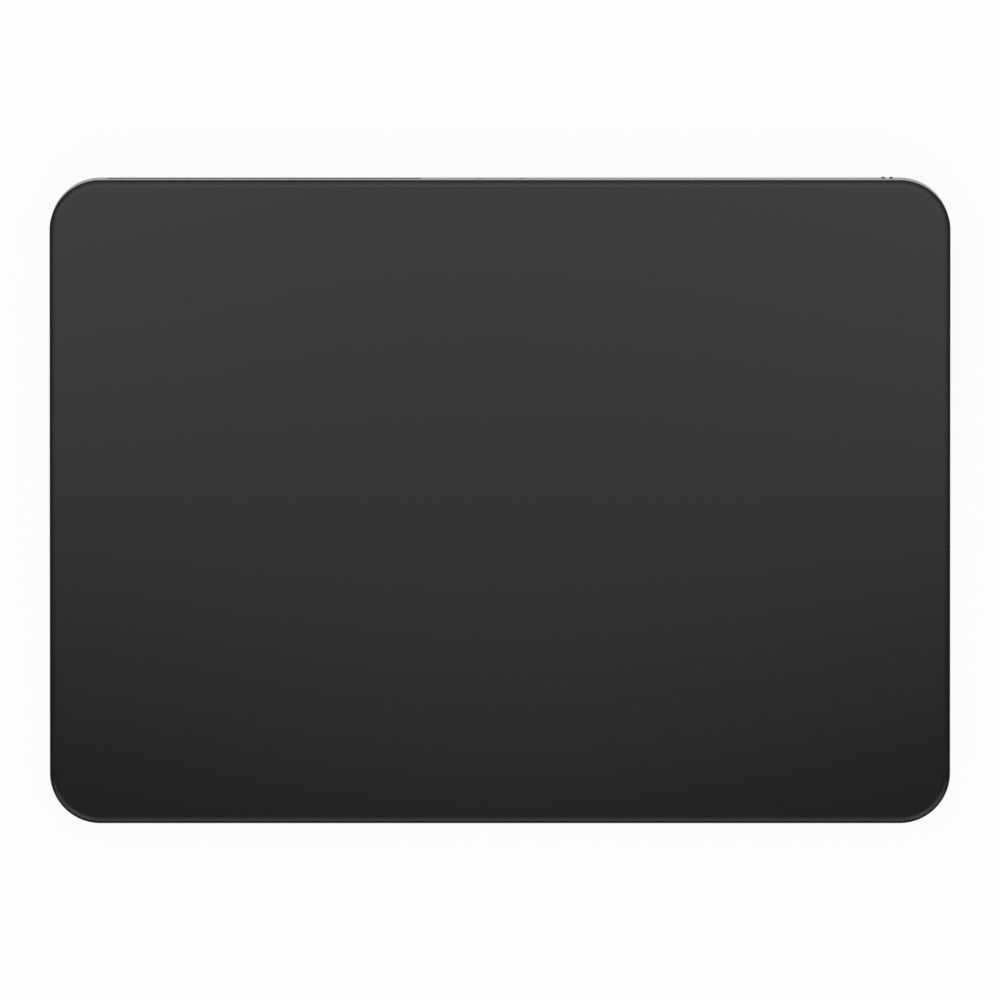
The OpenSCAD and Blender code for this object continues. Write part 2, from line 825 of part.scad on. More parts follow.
module battery_cells() {
    color("#26282c") tilted() for (x = [cell_left, cell_right - cell_w])
        translate([x + cell_w / 2, cell_y, hang - cell_t]) rounded_block(cell_w, cell_d, cell_r, cell_t);
}

module battery_protection_board() {
    color("#1f5a3a") tilted()
        span([guard_left, guard_front, board_under], [guard_right, guard_rear, hang]);
}

module battery_flex() {
    color("#b8762e") tilted() span([guard_left + 1, cell_y - battery_flex_w / 2, board_under - flex_t],
        [landing_left, cell_y + battery_flex_w / 2, board_under]);
}

// Logic board

module logic_board() {
    color("#1f5a3a") tilted() difference() {
        span([board_left, board_front, board_under], [board_right, board_rear, hang]);
        translate([0, 0, board_under]) at_board_screws() screw_hole(board_t + cut_over);
    }
}

// A chip of the given size, its middle at x, y from the board's front left corner
module chip(x, y, size) {
    translate([board_left + x, board_front + y, board_under - size[2] / 2]) cube(size, center = true);
}

module board_chips() {
    color("#242426") tilted() {
        chip(radio_x, radio_y, [radio_w, radio_w, driver_h]);
        chip(controller_x, controller_y, [controller_w, controller_w, controller_h]);
        chip(controller_x, crystal_y, [crystal_w, crystal_d, crystal_h]);
        for (y = [driver_front_y, driver_rear_y]) chip(driver_x, y, [driver_w, driver_w, driver_h]);
        for (y = [inductor_front_y, inductor_rear_y])
            chip(inductor_x, y, [inductor_w, inductor_w, inductor_h]);
        for (i = [0:capacitor_count - 1])
            chip(capacitor_x + i * capacitor_step, capacitor_y, [capacitor_w, capacitor_d, capacitor_h]);
    }
}

module shield_can() {
    can = [can_w, can_w, can_h];
    inside = can - [2 * can_wall, 2 * can_wall, can_wall];
    color("#b9bcc0") tilted() difference() {
        chip(radio_x, radio_y, can);
        translate([0, 0, cut_over]) chip(radio_x, radio_y, inside + [0, 0, cut_over]);
    }
}

// A connector that holds the end of a flex of width w, across x or across y
module connector_across_x(x, y, w) {
    span([x - connector_margin, y, board_under - connector_h],
        [x + w + connector_margin, y + connector_d, board_under]);
}

module connector_across_y(x, y, w) {
    span([x, y - connector_margin, board_under - connector_h],
        [x + connector_d, y + w + connector_margin, board_under]);
}

module board_connectors() {
    color("#e4e0d2") tilted() {
        connector_across_x(sensor_x - sensor_flex_w / 2, landing_front, sensor_flex_w);
        connector_across_x(gauge_landing_x - flex_w / 2, landing_front, flex_w);
        connector_across_x(haptic_landing_x, landing_front, flex_w);
        connector_across_y(landing_left, cell_y - battery_flex_w / 2, battery_flex_w);
        connector_across_x(port_landing_x, landing_rear - connector_d, flex_w);
        connector_across_x(switch_flex_x - flex_w / 2, landing_rear - connector_d, flex_w);
    }
}

module board_screws() {
    color("#77787a") tilted() translate([0, 0, board_under]) at_board_screws()
        screw(board_t + boss_h + deck_t - slide_gap);
}

module sensor_flex() {
    left = sensor_x - sensor_flex_w / 2;
    right = sensor_x + sensor_flex_w / 2;
    top = sensor_under - connector_h;
    color("#b8762e") tilted() {
        span([left, connector_y - connector_d / 2, top - flex_t], [right, sensor_drop_y, top]);
        span([left, sensor_drop_y, board_under - flex_t], [right, sensor_drop_y + flex_t, top]);
        span([left, sensor_drop_y, board_under - flex_t], [right, landing_front, board_under]);
    }
}

// Charging port

module port_board() {
    color("#1f5a3a") tilted() difference() {
        span([-port_board_w / 2, port_board_front, board_under],
            [port_board_w / 2, rear_in - side_gap, hang]);
        translate([0, 0, board_under]) at_port_screws() screw_hole(board_t + cut_over);
    }
}

module port_shell() {
    color("#b9bcc0") tilted() translate([0, 0, port_z]) difference() {
        pill_upright(shell_w, shell_h, port_back, port_l);
        pill_upright(port_w, port_h, port_back + port_wall, port_l + cut_over);
    }
}

module port_tongue() {
    back = port_back + port_wall;
    color("#1b1b1d") tilted() translate([0, 0, port_z]) {
        pill_upright(port_w - 2 * insulator_gap, port_h - 2 * insulator_gap, back, insulator_l);
        span([-tongue_w / 2, back + insulator_l / 2, -tongue_t / 2],
            [tongue_w / 2, port_front - tongue_end_gap, tongue_t / 2]);
    }
}

module port_contacts() {
    end = port_front - tongue_end_gap - contact_end_gap;
    row = (contacts_per_row - 1) / 2;
    color("#c9a227") tilted() translate([0, 0, port_z])
        for (i = [0:contacts_per_row - 1], z = [tongue_t / 2, -tongue_t / 2 - contact_t])
            translate([(i - row) * contact_pitch - contact_w / 2, end - contact_l, z])
                cube([contact_w, contact_l, contact_t]);
}

module port_screws() {
    color("#77787a") tilted() translate([0, 0, board_under]) at_port_screws()
        screw(board_t + boss_h + deck_t - slide_gap);
}

module port_flex() {
    x = port_landing_x;
    y = port_screw_y + head_d;
    color("#b8762e") tilted() {
        span([port_screw_x - flex_w / 4, y, board_under - flex_t], [x + flex_w, y + flex_w, board_under]);
        span([x, landing_rear, board_under - flex_t], [x + flex_w, y + flex_w, board_under]);
    }
}

// Power switch

module power_slider() {
    nub_end = rear_out + nub_proud;
    flange_mid = flange_front - flange_t / 2;
    flange_back = flange_front - flange_t;
    color("#c9cbce") tilted() translate([nub_x, 0, switch_z]) {
        pill_upright(nub_w, nub_h, flange_mid, nub_end - flange_mid);
        // grip ribs
        for (x = [-rib_pitch / 2, rib_pitch / 2])
            span([x - rib_w / 2, nub_end - rib_h, -rib_l / 2], [x + rib_w / 2, nub_end + rib_h, rib_l / 2]);
        // flange behind the wall and stem into the housing
        span([-flange_w / 2, flange_back, -flange_h / 2], [flange_w / 2, flange_front, flange_h / 2]);
        span([-stem_w / 2, flange_back - stem_l, -stem_h / 2], [stem_w / 2, flange_mid, stem_h / 2]);
    }
}

module switch_indicator() {
    color("#3fae4a") tilted() translate([nub_x, flange_front, switch_z])
        span([nub_w / 2 + slide_gap, 0, -nub_h / 2], [flange_w / 2 - slide_gap, contact_t, nub_h / 2]);
}

module switch_housing() {
    room = [stem_w / 2 + stem_gap, stem_l + stem_gap, stem_h / 2 + stem_gap];
    color("#1d1d1f") tilted() difference() {
        translate([switch_x, 0, 0]) span([-housing_w / 2, housing_back, housing_top - housing_h],
            [housing_w / 2, housing_front, housing_top]);
        // channel for the stem
        translate([0, housing_front, switch_z])
            span([nub_x - travel - room[0], -room[1], -room[2]], [nub_x + room[0], cut_over, room[2]]);
    }
}

module switch_bracket() {
    arm_end = boss_d / 2;
    color("#b4b6b8") tilted() translate([switch_x, 0, housing_top]) difference() {
        union() {
            span([-housing_w / 2, switch_screw_y, 0], [housing_w / 2, housing_front, switch_plate_t]);
            span([switch_screws_dx[0] - arm_end, housing_back - switch_arm_d, 0],
                [switch_screws_dx[1] + arm_end, housing_back, switch_plate_t]);
        }
        for (dx = switch_screws_dx) translate([dx, switch_screw_y, 0]) screw_hole(switch_plate_t + cut_over);
    }
}

module switch_screws() {
    color("#77787a") tilted() translate([0, 0, housing_top]) at_switch_screws()
        screw(switch_plate_t + boss_h + deck_t - slide_gap);
}

module switch_flex() {
    color("#b8762e") tilted() span([switch_flex_x - flex_w / 2, landing_rear, board_under - flex_t],
        [switch_flex_x + flex_w / 2, housing_back, board_under]);
}

// Antenna

module antenna_window() {
    fit = 2 * window_fit;
    color("#8f9196") tilted() translate([window_x, 0, window_z]) {
        rounded_upright(window_l - fit, window_h - fit, window_r - window_fit, window_floor, window_t);
        rounded_upright(window_boss_l - fit, window_boss_h - fit, window_r - window_fit,
            rear_in, wall_t - window_t / 2);
    }
}

module antenna_element() {
    color("#b5651d") tilted() translate([window_x, 0, window_z])
        span([-window_boss_l / 2 + element_margin, rear_in - element_t, -window_boss_h / 2],
            [window_boss_l / 2 - element_margin, rear_in, window_boss_h / 2]);
}

module antenna_coax() {
    color("#2a2a2c") tilted() translate([coax_x, coax_y, coax_z]) {
        // from the antenna towards the front
        translate([0, coax_bend_r, 0]) rotate([-90, 0, 0])
            cylinder(d = coax_d, h = rear_in - element_t - coax_y - coax_bend_r);
        translate([coax_bend_r, coax_bend_r, 0]) rotate(180) rotate_extrude(angle = 90)
            translate([coax_bend_r, 0]) circle(d = coax_d);
        // along the battery to the logic board
        translate([coax_bend_r, 0, 0]) rotate([0, 90, 0])
            cylinder(d = coax_d, h = board_left - coax_x - coax_bend_r);
    }
}

cover_glass();
glass_bond();
touch_sensor_board();
sensor_connector();
stiffener_plate();
haptic_armature();
gel_pads();
flexure_brackets();
strain_gauges();
gauge_flex();
bracket_screws();
enclosure();
dust_seal();
bottom_cover();
cover_adhesive();
rubber_feet();
haptic_cores();
haptic_coils();
haptic_screws();
haptic_flex();
battery_adhesive();
battery_cells();
battery_protection_board();
battery_flex();
logic_board();
board_chips();
shield_can();
board_connectors();
board_screws();
sensor_flex();
port_board();
port_shell();
port_tongue();
port_contacts();
port_screws();
port_flex();
power_slider();
switch_indicator();
switch_housing();
switch_bracket();
switch_screws();
switch_flex();
antenna_window();
antenna_element();
antenna_coax();
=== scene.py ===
import json
import math

import bmesh
import bpy
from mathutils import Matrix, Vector

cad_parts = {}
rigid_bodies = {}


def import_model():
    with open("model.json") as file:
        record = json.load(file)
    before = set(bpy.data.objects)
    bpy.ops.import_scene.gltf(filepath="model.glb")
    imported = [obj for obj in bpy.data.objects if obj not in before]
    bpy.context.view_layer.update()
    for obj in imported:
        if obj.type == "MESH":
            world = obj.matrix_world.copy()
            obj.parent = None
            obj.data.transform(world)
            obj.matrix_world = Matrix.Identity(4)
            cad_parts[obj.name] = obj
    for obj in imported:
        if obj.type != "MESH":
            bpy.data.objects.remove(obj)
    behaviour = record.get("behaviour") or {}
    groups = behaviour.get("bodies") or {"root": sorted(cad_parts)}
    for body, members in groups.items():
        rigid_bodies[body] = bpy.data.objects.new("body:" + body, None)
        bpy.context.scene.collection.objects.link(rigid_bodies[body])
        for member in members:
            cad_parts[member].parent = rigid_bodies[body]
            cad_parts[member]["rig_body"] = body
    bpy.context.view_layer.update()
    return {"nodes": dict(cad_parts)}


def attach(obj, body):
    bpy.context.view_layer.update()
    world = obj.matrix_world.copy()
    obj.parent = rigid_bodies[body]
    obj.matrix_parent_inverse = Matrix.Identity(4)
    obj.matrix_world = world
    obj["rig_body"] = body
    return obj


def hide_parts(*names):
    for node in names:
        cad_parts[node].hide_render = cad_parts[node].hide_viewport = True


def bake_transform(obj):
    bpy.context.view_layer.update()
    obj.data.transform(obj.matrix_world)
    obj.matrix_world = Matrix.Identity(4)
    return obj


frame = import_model()
cad = frame["nodes"]

# Body
# The body is one piece of aluminium, milled to a wedge with a deck inside, then bead-blasted and anodised.
# An envelope with a soft bottom edge and a broken rim trims its solid here, as the finishing tool does.
mm = 0.001
pad_w = 160
pad_d = 114.5
front_h = 4.9
rear_h = 10.9
corner_r = 9
glass_y = -0.2512
glass_t = 0.9
rim_top = -1.25
foot_h = 0.5
slope = math.asin((rear_h - front_h) / pad_d)
mid_h = (front_h + rear_h) / 2
body_trim = 0.02
rim_edge_r = 0.12
base_edge_r = 1.3
port_z = -6.38
port_mouth = (9.14, 3.36)
switch_x = 67.7
switch_mouth = (5.2, 1.8)
mouth_bevel = 0.03


def on_slope(x, y, z):
    """A point in the glass's tilted frame, in millimetres, as a place in the scene."""
    return (
        x * mm,
        (glass_y + y * math.cos(slope) - z * math.sin(slope)) * mm,
        (mid_h + y * math.sin(slope) + z * math.cos(slope)) * mm,
    )


def rounded_outline(width, depth, radius, steps=20):
    """Points round a rectangle with round corners, counter-clockwise."""
    points = []
    for turn, (side_x, side_y) in enumerate(((1, 1), (-1, 1), (-1, -1), (1, -1))):
        for step in range(steps + 1):
            angle = math.radians(90 * (turn + step / steps))
            points.append((
                side_x * (width / 2 - radius) + radius * math.cos(angle),
                side_y * (depth / 2 - radius) + radius * math.sin(angle),
            ))
    return points


def quarter_arc(radius, steps):
    """How far in and how far along an edge with a quarter-round lies, from its side to its face."""
    turns = [math.radians(90 * step / steps) for step in range(steps + 1)]
    return [(radius * (1 - math.cos(a)), radius * (1 - math.sin(a))) for a in turns]


def as_object(name, shape):
    """Puts a finished bmesh into the scene."""
    bmesh.ops.recalc_face_normals(shape, faces=shape.faces)
    mesh = bpy.data.meshes.new(name)
    shape.to_mesh(mesh)
    shape.free()
    piece = bpy.data.objects.new(name, mesh)
    bpy.context.scene.collection.objects.link(piece)
    return piece


def add_loft(shape, rings):
    """Adds a closed skin through rings of equally many points to a bmesh."""
    loops = [[shape.verts.new(point) for point in ring] for ring in rings]
    count = len(loops[0])
    for lower, upper in zip(loops, loops[1:]):
        for i in range(count):
            j = (i + 1) % count
            shape.faces.new((lower[i], lower[j], upper[j], upper[i]))
    shape.faces.new(list(reversed(loops[0])))
    shape.faces.new(loops[-1])


def loft(name, rings):
    """An object with one closed skin through its rings."""
    shape = bmesh.new()
    add_loft(shape, rings)
    return as_object(name, shape)


def welded_bmesh(node):
    """A CAD node's mesh with its faces joined at their edges and its flat faces whole."""
    shape = bmesh.new()
    shape.from_mesh(cad[node].data)
    bmesh.ops.remove_doubles(shape, verts=shape.verts, dist=1e-7)
    flat = math.radians(0.1)
    bmesh.ops.dissolve_limit(shape, angle_limit=flat, verts=shape.verts, edges=shape.edges)
    return shape


def trim(piece, tool, operation):
    """Cuts a piece with another one, which is used up."""
    step = piece.modifiers.new("trim", "BOOLEAN")
    step.operation = operation
    step.solver = "EXACT"
    step.object = tool
    bpy.context.view_layer.update()
    shown = piece.evaluated_get(bpy.context.evaluated_depsgraph_get())
    cut = bpy.data.meshes.new_from_object(shown)
    piece.modifiers.clear()
    piece.data = cut
    bpy.data.objects.remove(tool)


def even_shading(piece, angle=32):
    """Smooth over soft edges, crisp over hard ones, with flat faces kept flat."""
    for name in ("custom_normal", "sharp_edge"):
        if name in piece.data.attributes:
            piece.data.attributes.remove(piece.data.attributes[name])
    piece.data.polygons.foreach_set("use_smooth", [True] * len(piece.data.polygons))
    piece.data.set_sharp_from_angle(angle=math.radians(angle))
    even = piece.modifiers.new("even shading", "WEIGHTED_NORMAL")
    even.keep_sharp = True


def stand_for(piece, node, material):
    """The piece takes the place of a CAD node: its body and a material of its own."""
    piece.data.materials.clear()
    piece.data.materials.append(material)
    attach(piece, cad[node]["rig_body"])
    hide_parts(node)


def body_outline(inset):
    """The body's outline, a given distance inside its trimmed walls."""
    inside = body_trim + inset
    return rounded_outline(pad_w - 2 * inside, pad_d - 2 * inside, corner_r - inside)


def level_ring(inset, height):
    """A ring of the body's skin at one height above the table."""
    ring = []
    for x, y in body_outline(inset):
        z = (height - mid_h - y * math.sin(slope)) / math.cos(slope)
        ring.append(on_slope(x, y, z))
    return ring


def mouth_ring(x, mouth, grow, y):
    """A pill-shaped ring on the rear wall, grown all round, at one depth."""
    width, height = mouth[0] + 2 * grow, mouth[1] + 2 * grow
    outline = rounded_outline(width, height, height / 2 - 0.001)
    return [on_slope(x + a, y, port_z + b) for a, b in outline]


def mouth_bevel_tool(x, mouth):
    """A flared plug that breaks the outer edge of an opening in the rear wall."""
    face = pad_d / 2 - body_trim
    return loft("mouth tool", [
        mouth_ring(x, mouth, 2 * mouth_bevel, face + mouth_bevel),
        mouth_ring(x, mouth, -mouth_bevel, face - 2 * mouth_bevel),
    ])


def add_node(tree, kind, inputs=None, **settings):
    """A shader node with its settings, and with values or links on its inputs."""
    node = tree.nodes.new(kind)
    for name, value in settings.items():
        setattr(node, name, value)
    for name, value in (inputs or {}).items():
        if isinstance(value, bpy.types.NodeSocket):
            tree.links.new(value, node.inputs[name])
        else:
            node.inputs[name].default_value = value
    return node


def mix_colours(tree, factor, first, second):
    """The colour between two colours."""
    mix = add_node(tree, "ShaderNodeMix", {0: factor, 6: first, 7: second}, data_type="RGBA")
    return mix.outputs[2]


def between(tree, factor, low, high):
    """The number between two numbers."""
    mix = add_node(tree, "ShaderNodeMix", {0: factor, 2: low, 3: high}, data_type="FLOAT")
    return mix.outputs[0]


def maths(tree, operation, first, second=0.0):
    """One sum on two numbers."""
    return add_node(tree, "ShaderNodeMath", {0: first, 1: second}, operation=operation).outputs[0]


def new_finish(name, extra_inputs):
    """An empty shader group for a finish, its inputs and the place on the surface.

    Every finish takes two colours and two roughnesses, and more inputs of its own.
    """
    tree = bpy.data.node_groups.new(name, "ShaderNodeTree")
    inputs = {
        "Colour": (0.5, 0.5, 0.5, 1),
        "Second Colour": (0.4, 0.4, 0.4, 1),
        "Roughness": 0.4,
        "Second Roughness": 0.5,
    }
    inputs.update(extra_inputs)
    for label, value in inputs.items():
        kind = "NodeSocketFloat" if isinstance(value, float) else "NodeSocketColor"
        if isinstance(value, tuple) and len(value) == 3:
            kind = "NodeSocketVector"
        socket = tree.interface.new_socket(label, in_out="INPUT", socket_type=kind)
        socket.default_value = value
    outputs = {"Colour": "NodeSocketColor", "Roughness": "NodeSocketFloat", "Height": "NodeSocketFloat"}
    for label, kind in outputs.items():
        tree.interface.new_socket(label, in_out="OUTPUT", socket_type=kind)
    given = add_node(tree, "NodeGroupInput").outputs
    place = add_node(tree, "ShaderNodeTexCoord").outputs["Object"]
    return tree, given, place


def noise(tree, place, scale, detail, extra_inputs=None, **settings):
    """Soft noise over the surface, with so many waves in a metre."""
    inputs = {"Vector": place, "Scale": scale, "Detail": detail}
    inputs.update(extra_inputs or {})
    return add_node(tree, "ShaderNodeTexNoise", inputs, **settings).outputs["Fac"]


def close_finish(tree, given, share, height):
    """Ends a finish: its colour and roughness follow the share, and its height is put out."""
    colour = mix_colours(tree, share, given["Colour"], given["Second Colour"])
    roughness = between(tree, share, given["Roughness"], given["Second Roughness"])
    add_node(tree, "NodeGroupOutput", {"Colour": colour, "Roughness": roughness, "Height": height})
    return tree


def make_fine_grain():
    """A fine, even grain over a slow drift of tone, for blasted, moulded and rubbery surfaces."""
    tree, given, place = new_finish("Fine Grain", {"Grains per Metre": 8000.0, "Drift": 0.35})
    grain = noise(tree, place, given["Grains per Metre"], 2.0, {"Roughness": 0.55})
    drift = noise(tree, place, 28.0, 3.0)
    share = between(tree, given["Drift"], grain, drift)
    return close_finish(tree, given, share, grain)


def material_of(name, finish, values, bump, depth, **shader_values):
    """A material whose colour, roughness and bumps come from a finish. Depth is in millimetres."""
    material = bpy.data.materials.new(name)
    material.use_nodes = True
    tree = material.node_tree
    shader = tree.nodes["Principled BSDF"]
    skin = add_node(tree, "ShaderNodeGroup", values, node_tree=finish)
    bumps = add_node(tree, "ShaderNodeBump", {
        "Strength": bump, "Distance": depth * mm, "Height": skin.outputs["Height"],
    })
    tree.links.new(skin.outputs["Colour"], shader.inputs["Base Color"])
    tree.links.new(skin.outputs["Roughness"], shader.inputs["Roughness"])
    tree.links.new(bumps.outputs["Normal"], shader.inputs["Normal"])
    for label, value in shader_values.items():
        shader.inputs[label.replace("_", " ")].default_value = value
    return material


def dress(node, material):
    """A CAD node shown as it is, with a material."""
    cad[node].data.materials.clear()
    cad[node].data.materials.append(material)


fine_grain = make_fine_grain()
blasted_aluminium = material_of("blasted aluminium", fine_grain, {
    "Colour": (0.57, 0.564, 0.581, 1),
    "Second Colour": (0.42, 0.415, 0.428, 1),
    "Roughness": 0.36,
    "Second Roughness": 0.50,
    "Grains per Metre": 9000.0,
    "Drift": 0.05,
}, bump=0.4, depth=0.01, Metallic=1.0, Specular_Tint=(0.55, 0.55, 0.56, 1))

skin_rings = [[on_slope(x, y, rim_top - 0.005 - down) for x, y in body_outline(inset)]
              for inset, down in reversed(quarter_arc(rim_edge_r, 3))]
skin_rings += [level_ring(inset, foot_h + 0.005 + up) for inset, up in quarter_arc(base_edge_r, 10)]
body_skin = loft("body skin", skin_rings)
body = as_object("body", welded_bmesh("enclosure"))
trim(body, body_skin, "INTERSECT")
trim(body, mouth_bevel_tool(0, port_mouth), "DIFFERENCE")
trim(body, mouth_bevel_tool(switch_x, switch_mouth), "DIFFERENCE")
even_shading(body)
stand_for(body, "enclosure", blasted_aluminium)

# Haptic actuator
# Two E-shaped cores of stacked steel sheets, each with enamelled copper wire wound round its middle leg.
# Four small steel screws hold them up under the deck, and a printed film brings the current.
coil_from = 2.2
coil_to = 7.1
coil_outside = (11.2, 3.1155, 0.7)
coil_inside = (7.2, 2.1155, 0.15)
coil_z = -4.65775
coil_turns = 28
turn_depth = 0.05
core_edge_r = 0.08
screw_edge_r = 0.06
drive_r = 0.52
drive_lobe = 0.09
drive_lobes = 6
drive_depth = 0.22
facing_down = Vector((0, math.sin(slope), -math.cos(slope)))


def along(tree, place, direction):
    """How far a place lies along a direction."""
    product = add_node(tree, "ShaderNodeVectorMath", {0: place, 1: direction}, operation="DOT_PRODUCT")
    return product.outputs["Value"]


def make_even_bands():
    """Even bands across one direction, for wire turns, stacked sheets and printed tracks."""
    tree, given, place = new_finish("Even Bands", {
        "Bands per Metre": (5000.0, 0.0, 0.0), "Width": 0.5, "Drift": 0.25,
    })
    count = along(tree, place, given["Bands per Metre"])
    wave = maths(tree, "PINGPONG", maths(tree, "MULTIPLY", count, 2.0), 1.0)
    band = add_node(tree, "ShaderNodeMapRange", {
        "Value": wave, "From Min": maths(tree, "SUBTRACT", given["Width"], 0.15),
        "From Max": maths(tree, "ADD", given["Width"], 0.15),
    }, interpolation_type="SMOOTHSTEP").outputs[0]
    drift = noise(tree, place, 900.0, 3.0)
    share = between(tree, given["Drift"], band, drift)
    return close_finish(tree, given, share, band)


def make_rolled_streaks():
    """Long faint streaks, as rolling leaves on sheet metal."""
    tree, given, place = new_finish("Rolled Streaks", {
        "Streaks per Metre": (90.0, 4000.0, 4000.0), "Drift": 0.4,
    })
    stretch = add_node(tree, "ShaderNodeVectorMath", {
        0: place, 1: given["Streaks per Metre"],
    }, operation="MULTIPLY")
    drawn = stretch.outputs["Vector"]
    streak = noise(tree, drawn, 1.0, 3.0, {"Roughness": 0.6})
    drift = noise(tree, place, 120.0, 2.0)
    share = between(tree, given["Drift"], streak, drift)
    return close_finish(tree, given, share, streak)


def add_sleeve(shape, rings):
    """Adds a ring-shaped skin, closed both ways, to a bmesh."""
    loops = [[shape.verts.new(point) for point in ring] for ring in rings]
    count = len(loops[0])
    for k, lower in enumerate(loops):
        upper = loops[(k + 1) % len(loops)]
        for i in range(count):
            j = (i + 1) % count
            shape.faces.new((lower[i], lower[j], upper[j], upper[i]))


def coil_ring(x, size, grow):
    """A ring of a winding at one place along its leg, with its outside grown a little."""
    outline = rounded_outline(size[0] + 2 * grow, size[1] + 2 * grow, size[2], 6)
    return [on_slope(x, y, coil_z + z) for y, z in outline]


even_bands = make_even_bands()
rolled_streaks = make_rolled_streaks()
wound_copper = material_of("wound copper", even_bands, {
    "Colour": (0.34, 0.105, 0.030, 1),
    "Second Colour": (0.58, 0.215, 0.075, 1),
    "Roughness": 0.42,
    "Second Roughness": 0.26,
    "Bands per Metre": (coil_turns / ((coil_to - coil_from) * mm), 0.0, 0.0),
}, bump=0.5, depth=0.03, Metallic=1.0, Coat_Weight=0.4)
stacked_steel = material_of("stacked core steel", even_bands, {
    "Colour": (0.15, 0.155, 0.165, 1),
    "Second Colour": (0.28, 0.285, 0.295, 1),
    "Roughness": 0.55,
    "Second Roughness": 0.40,
    "Bands per Metre": (0.0, 0.0, 2900.0),
    "Width": 0.25,
}, bump=0.4, depth=0.02, Metallic=1.0)
screw_steel = material_of("plated screw steel", fine_grain, {
    "Colour": (0.36, 0.36, 0.37, 1),
    "Second Colour": (0.26, 0.26, 0.27, 1),
    "Roughness": 0.28,
    "Second Roughness": 0.42,
    "Grains per Metre": 14000.0,
}, bump=0.15, depth=0.006, Metallic=1.0)


def broken_edges(node, edge_r, segments):
    """A CAD node's mesh with its sharp outer edges broken by a small round."""
    shape = welded_bmesh(node)
    shape.normal_update()
    corner = math.radians(30)
    convex = [edge for edge in shape.edges if edge.is_manifold and edge.is_convex]
    sharp = [edge for edge in convex if edge.calc_face_angle() > corner]
    bmesh.ops.bevel(
        shape, geom=sharp, affect="EDGES", offset=edge_r * mm, segments=segments, profile=0.5,
        clamp_overlap=True,
    )
    return shape


def put_refined(name, node, edge_r, material, segments=3):
    """A CAD node's solids with their edges broken, in the node's place."""
    piece = as_object(name, broken_edges(node, edge_r, segments))
    even_shading(piece)
    stand_for(piece, node, material)


def put_screws(name, node, outward):
    """Plated screws in a CAD node's place, with a lobed recess in each head. The heads face outward."""
    shape = broken_edges(node, screw_edge_r, 3)
    shape.normal_update()
    sideways = outward.cross(Vector((1, 0, 0)))
    facing = 0.99
    for head in [face for face in shape.faces if face.normal.dot(outward) > facing]:
        middle = head.calc_center_median()
        rim = list(head.verts)
        mouth, floor = [], []
        for corner in rim:
            away = (corner.co - middle).normalized()
            turn = math.atan2(away.dot(sideways), away.x)
            place = middle + away * (drive_r + drive_lobe * math.cos(drive_lobes * turn)) * mm
            mouth.append(shape.verts.new(place))
            floor.append(shape.verts.new(place - outward * drive_depth * mm))
        for outer, inner in ((rim, mouth), (mouth, floor)):
            for i in range(len(rim)):
                j = (i + 1) % len(rim)
                shape.faces.new((outer[i], outer[j], inner[j], inner[i]))
        shape.faces.new(floor)
        shape.faces.remove(head)
    screws = as_object(name, shape)
    even_shading(screws)
    stand_for(screws, node, screw_steel)


def printed_film(name, bands):
    """Amber film with copper tracks printed across the given direction."""
    return material_of(name, even_bands, {
        "Colour": (0.37, 0.155, 0.030, 1),
        "Second Colour": (0.56, 0.285, 0.075, 1),
        "Roughness": 0.36,
        "Second Roughness": 0.26,
        "Bands per Metre": bands,
        "Width": 0.55,
    }, bump=0.4, depth=0.02, Coat_Weight=0.3)


film_along_x = printed_film("printed film along x", (0.0, 1500.0, 0.0))
film_along_y = printed_film("printed film along y", (1500.0, 0.0, 0.0))

winding = bmesh.new()
for side in (-1, 1):
    coil_rings = []
    for step in range(coil_turns * 4 + 1):
        x = coil_from + (coil_to - coil_from) * step / (coil_turns * 4)
        swell = -turn_depth * (0.5 + 0.5 * math.cos(math.pi * step / 2))
        coil_rings.append(coil_ring(side * x, coil_outside, swell))
    coil_rings.append(coil_ring(side * coil_to, coil_inside, 0))
    coil_rings.append(coil_ring(side * coil_from, coil_inside, 0))
    add_sleeve(winding, coil_rings)
coils = as_object("coils", winding)
even_shading(coils, 50)
stand_for(coils, "haptic_coils", wound_copper)
put_refined("cores", "haptic_cores", core_edge_r, stacked_steel)
put_screws("core_screws", "haptic_screws", facing_down)
dress("haptic_flex", film_along_x)

# Battery
# Two flat pouch cells in dark laminated film, joined by a small guard board.
# Strips of white double-sided tape hold them up to the deck. The film is drawn tight and creases a little.
cell_edge_r = 0.9


def make_pouch_film():
    """Foil-backed film drawn over a cell: soft dents, with finer creases across them."""
    tree, given, place = new_finish("Pouch Film", {"Creases per Metre": 220.0})
    dents = noise(tree, place, given["Creases per Metre"], 2.0, {"Distortion": 0.6})
    finer = maths(tree, "MULTIPLY", given["Creases per Metre"], 5.0)
    creases = noise(tree, place, finer, 4.0, noise_type="RIDGED_MULTIFRACTAL")
    height = between(tree, 0.2, dents, creases)
    return close_finish(tree, given, dents, height)


pouch_film = make_pouch_film()
cell_film = material_of("cell pouch film", pouch_film, {
    "Colour": (0.020, 0.021, 0.024, 1),
    "Second Colour": (0.034, 0.035, 0.039, 1),
    "Roughness": 0.30,
    "Second Roughness": 0.42,
}, bump=0.5, depth=0.12)
white_tape = material_of("white fleece tape", fine_grain, {
    "Colour": (0.72, 0.71, 0.68, 1),
    "Second Colour": (0.60, 0.59, 0.56, 1),
    "Roughness": 0.75,
    "Second Roughness": 0.85,
    "Grains per Metre": 5000.0,
    "Drift": 0.2,
}, bump=0.4, depth=0.03)


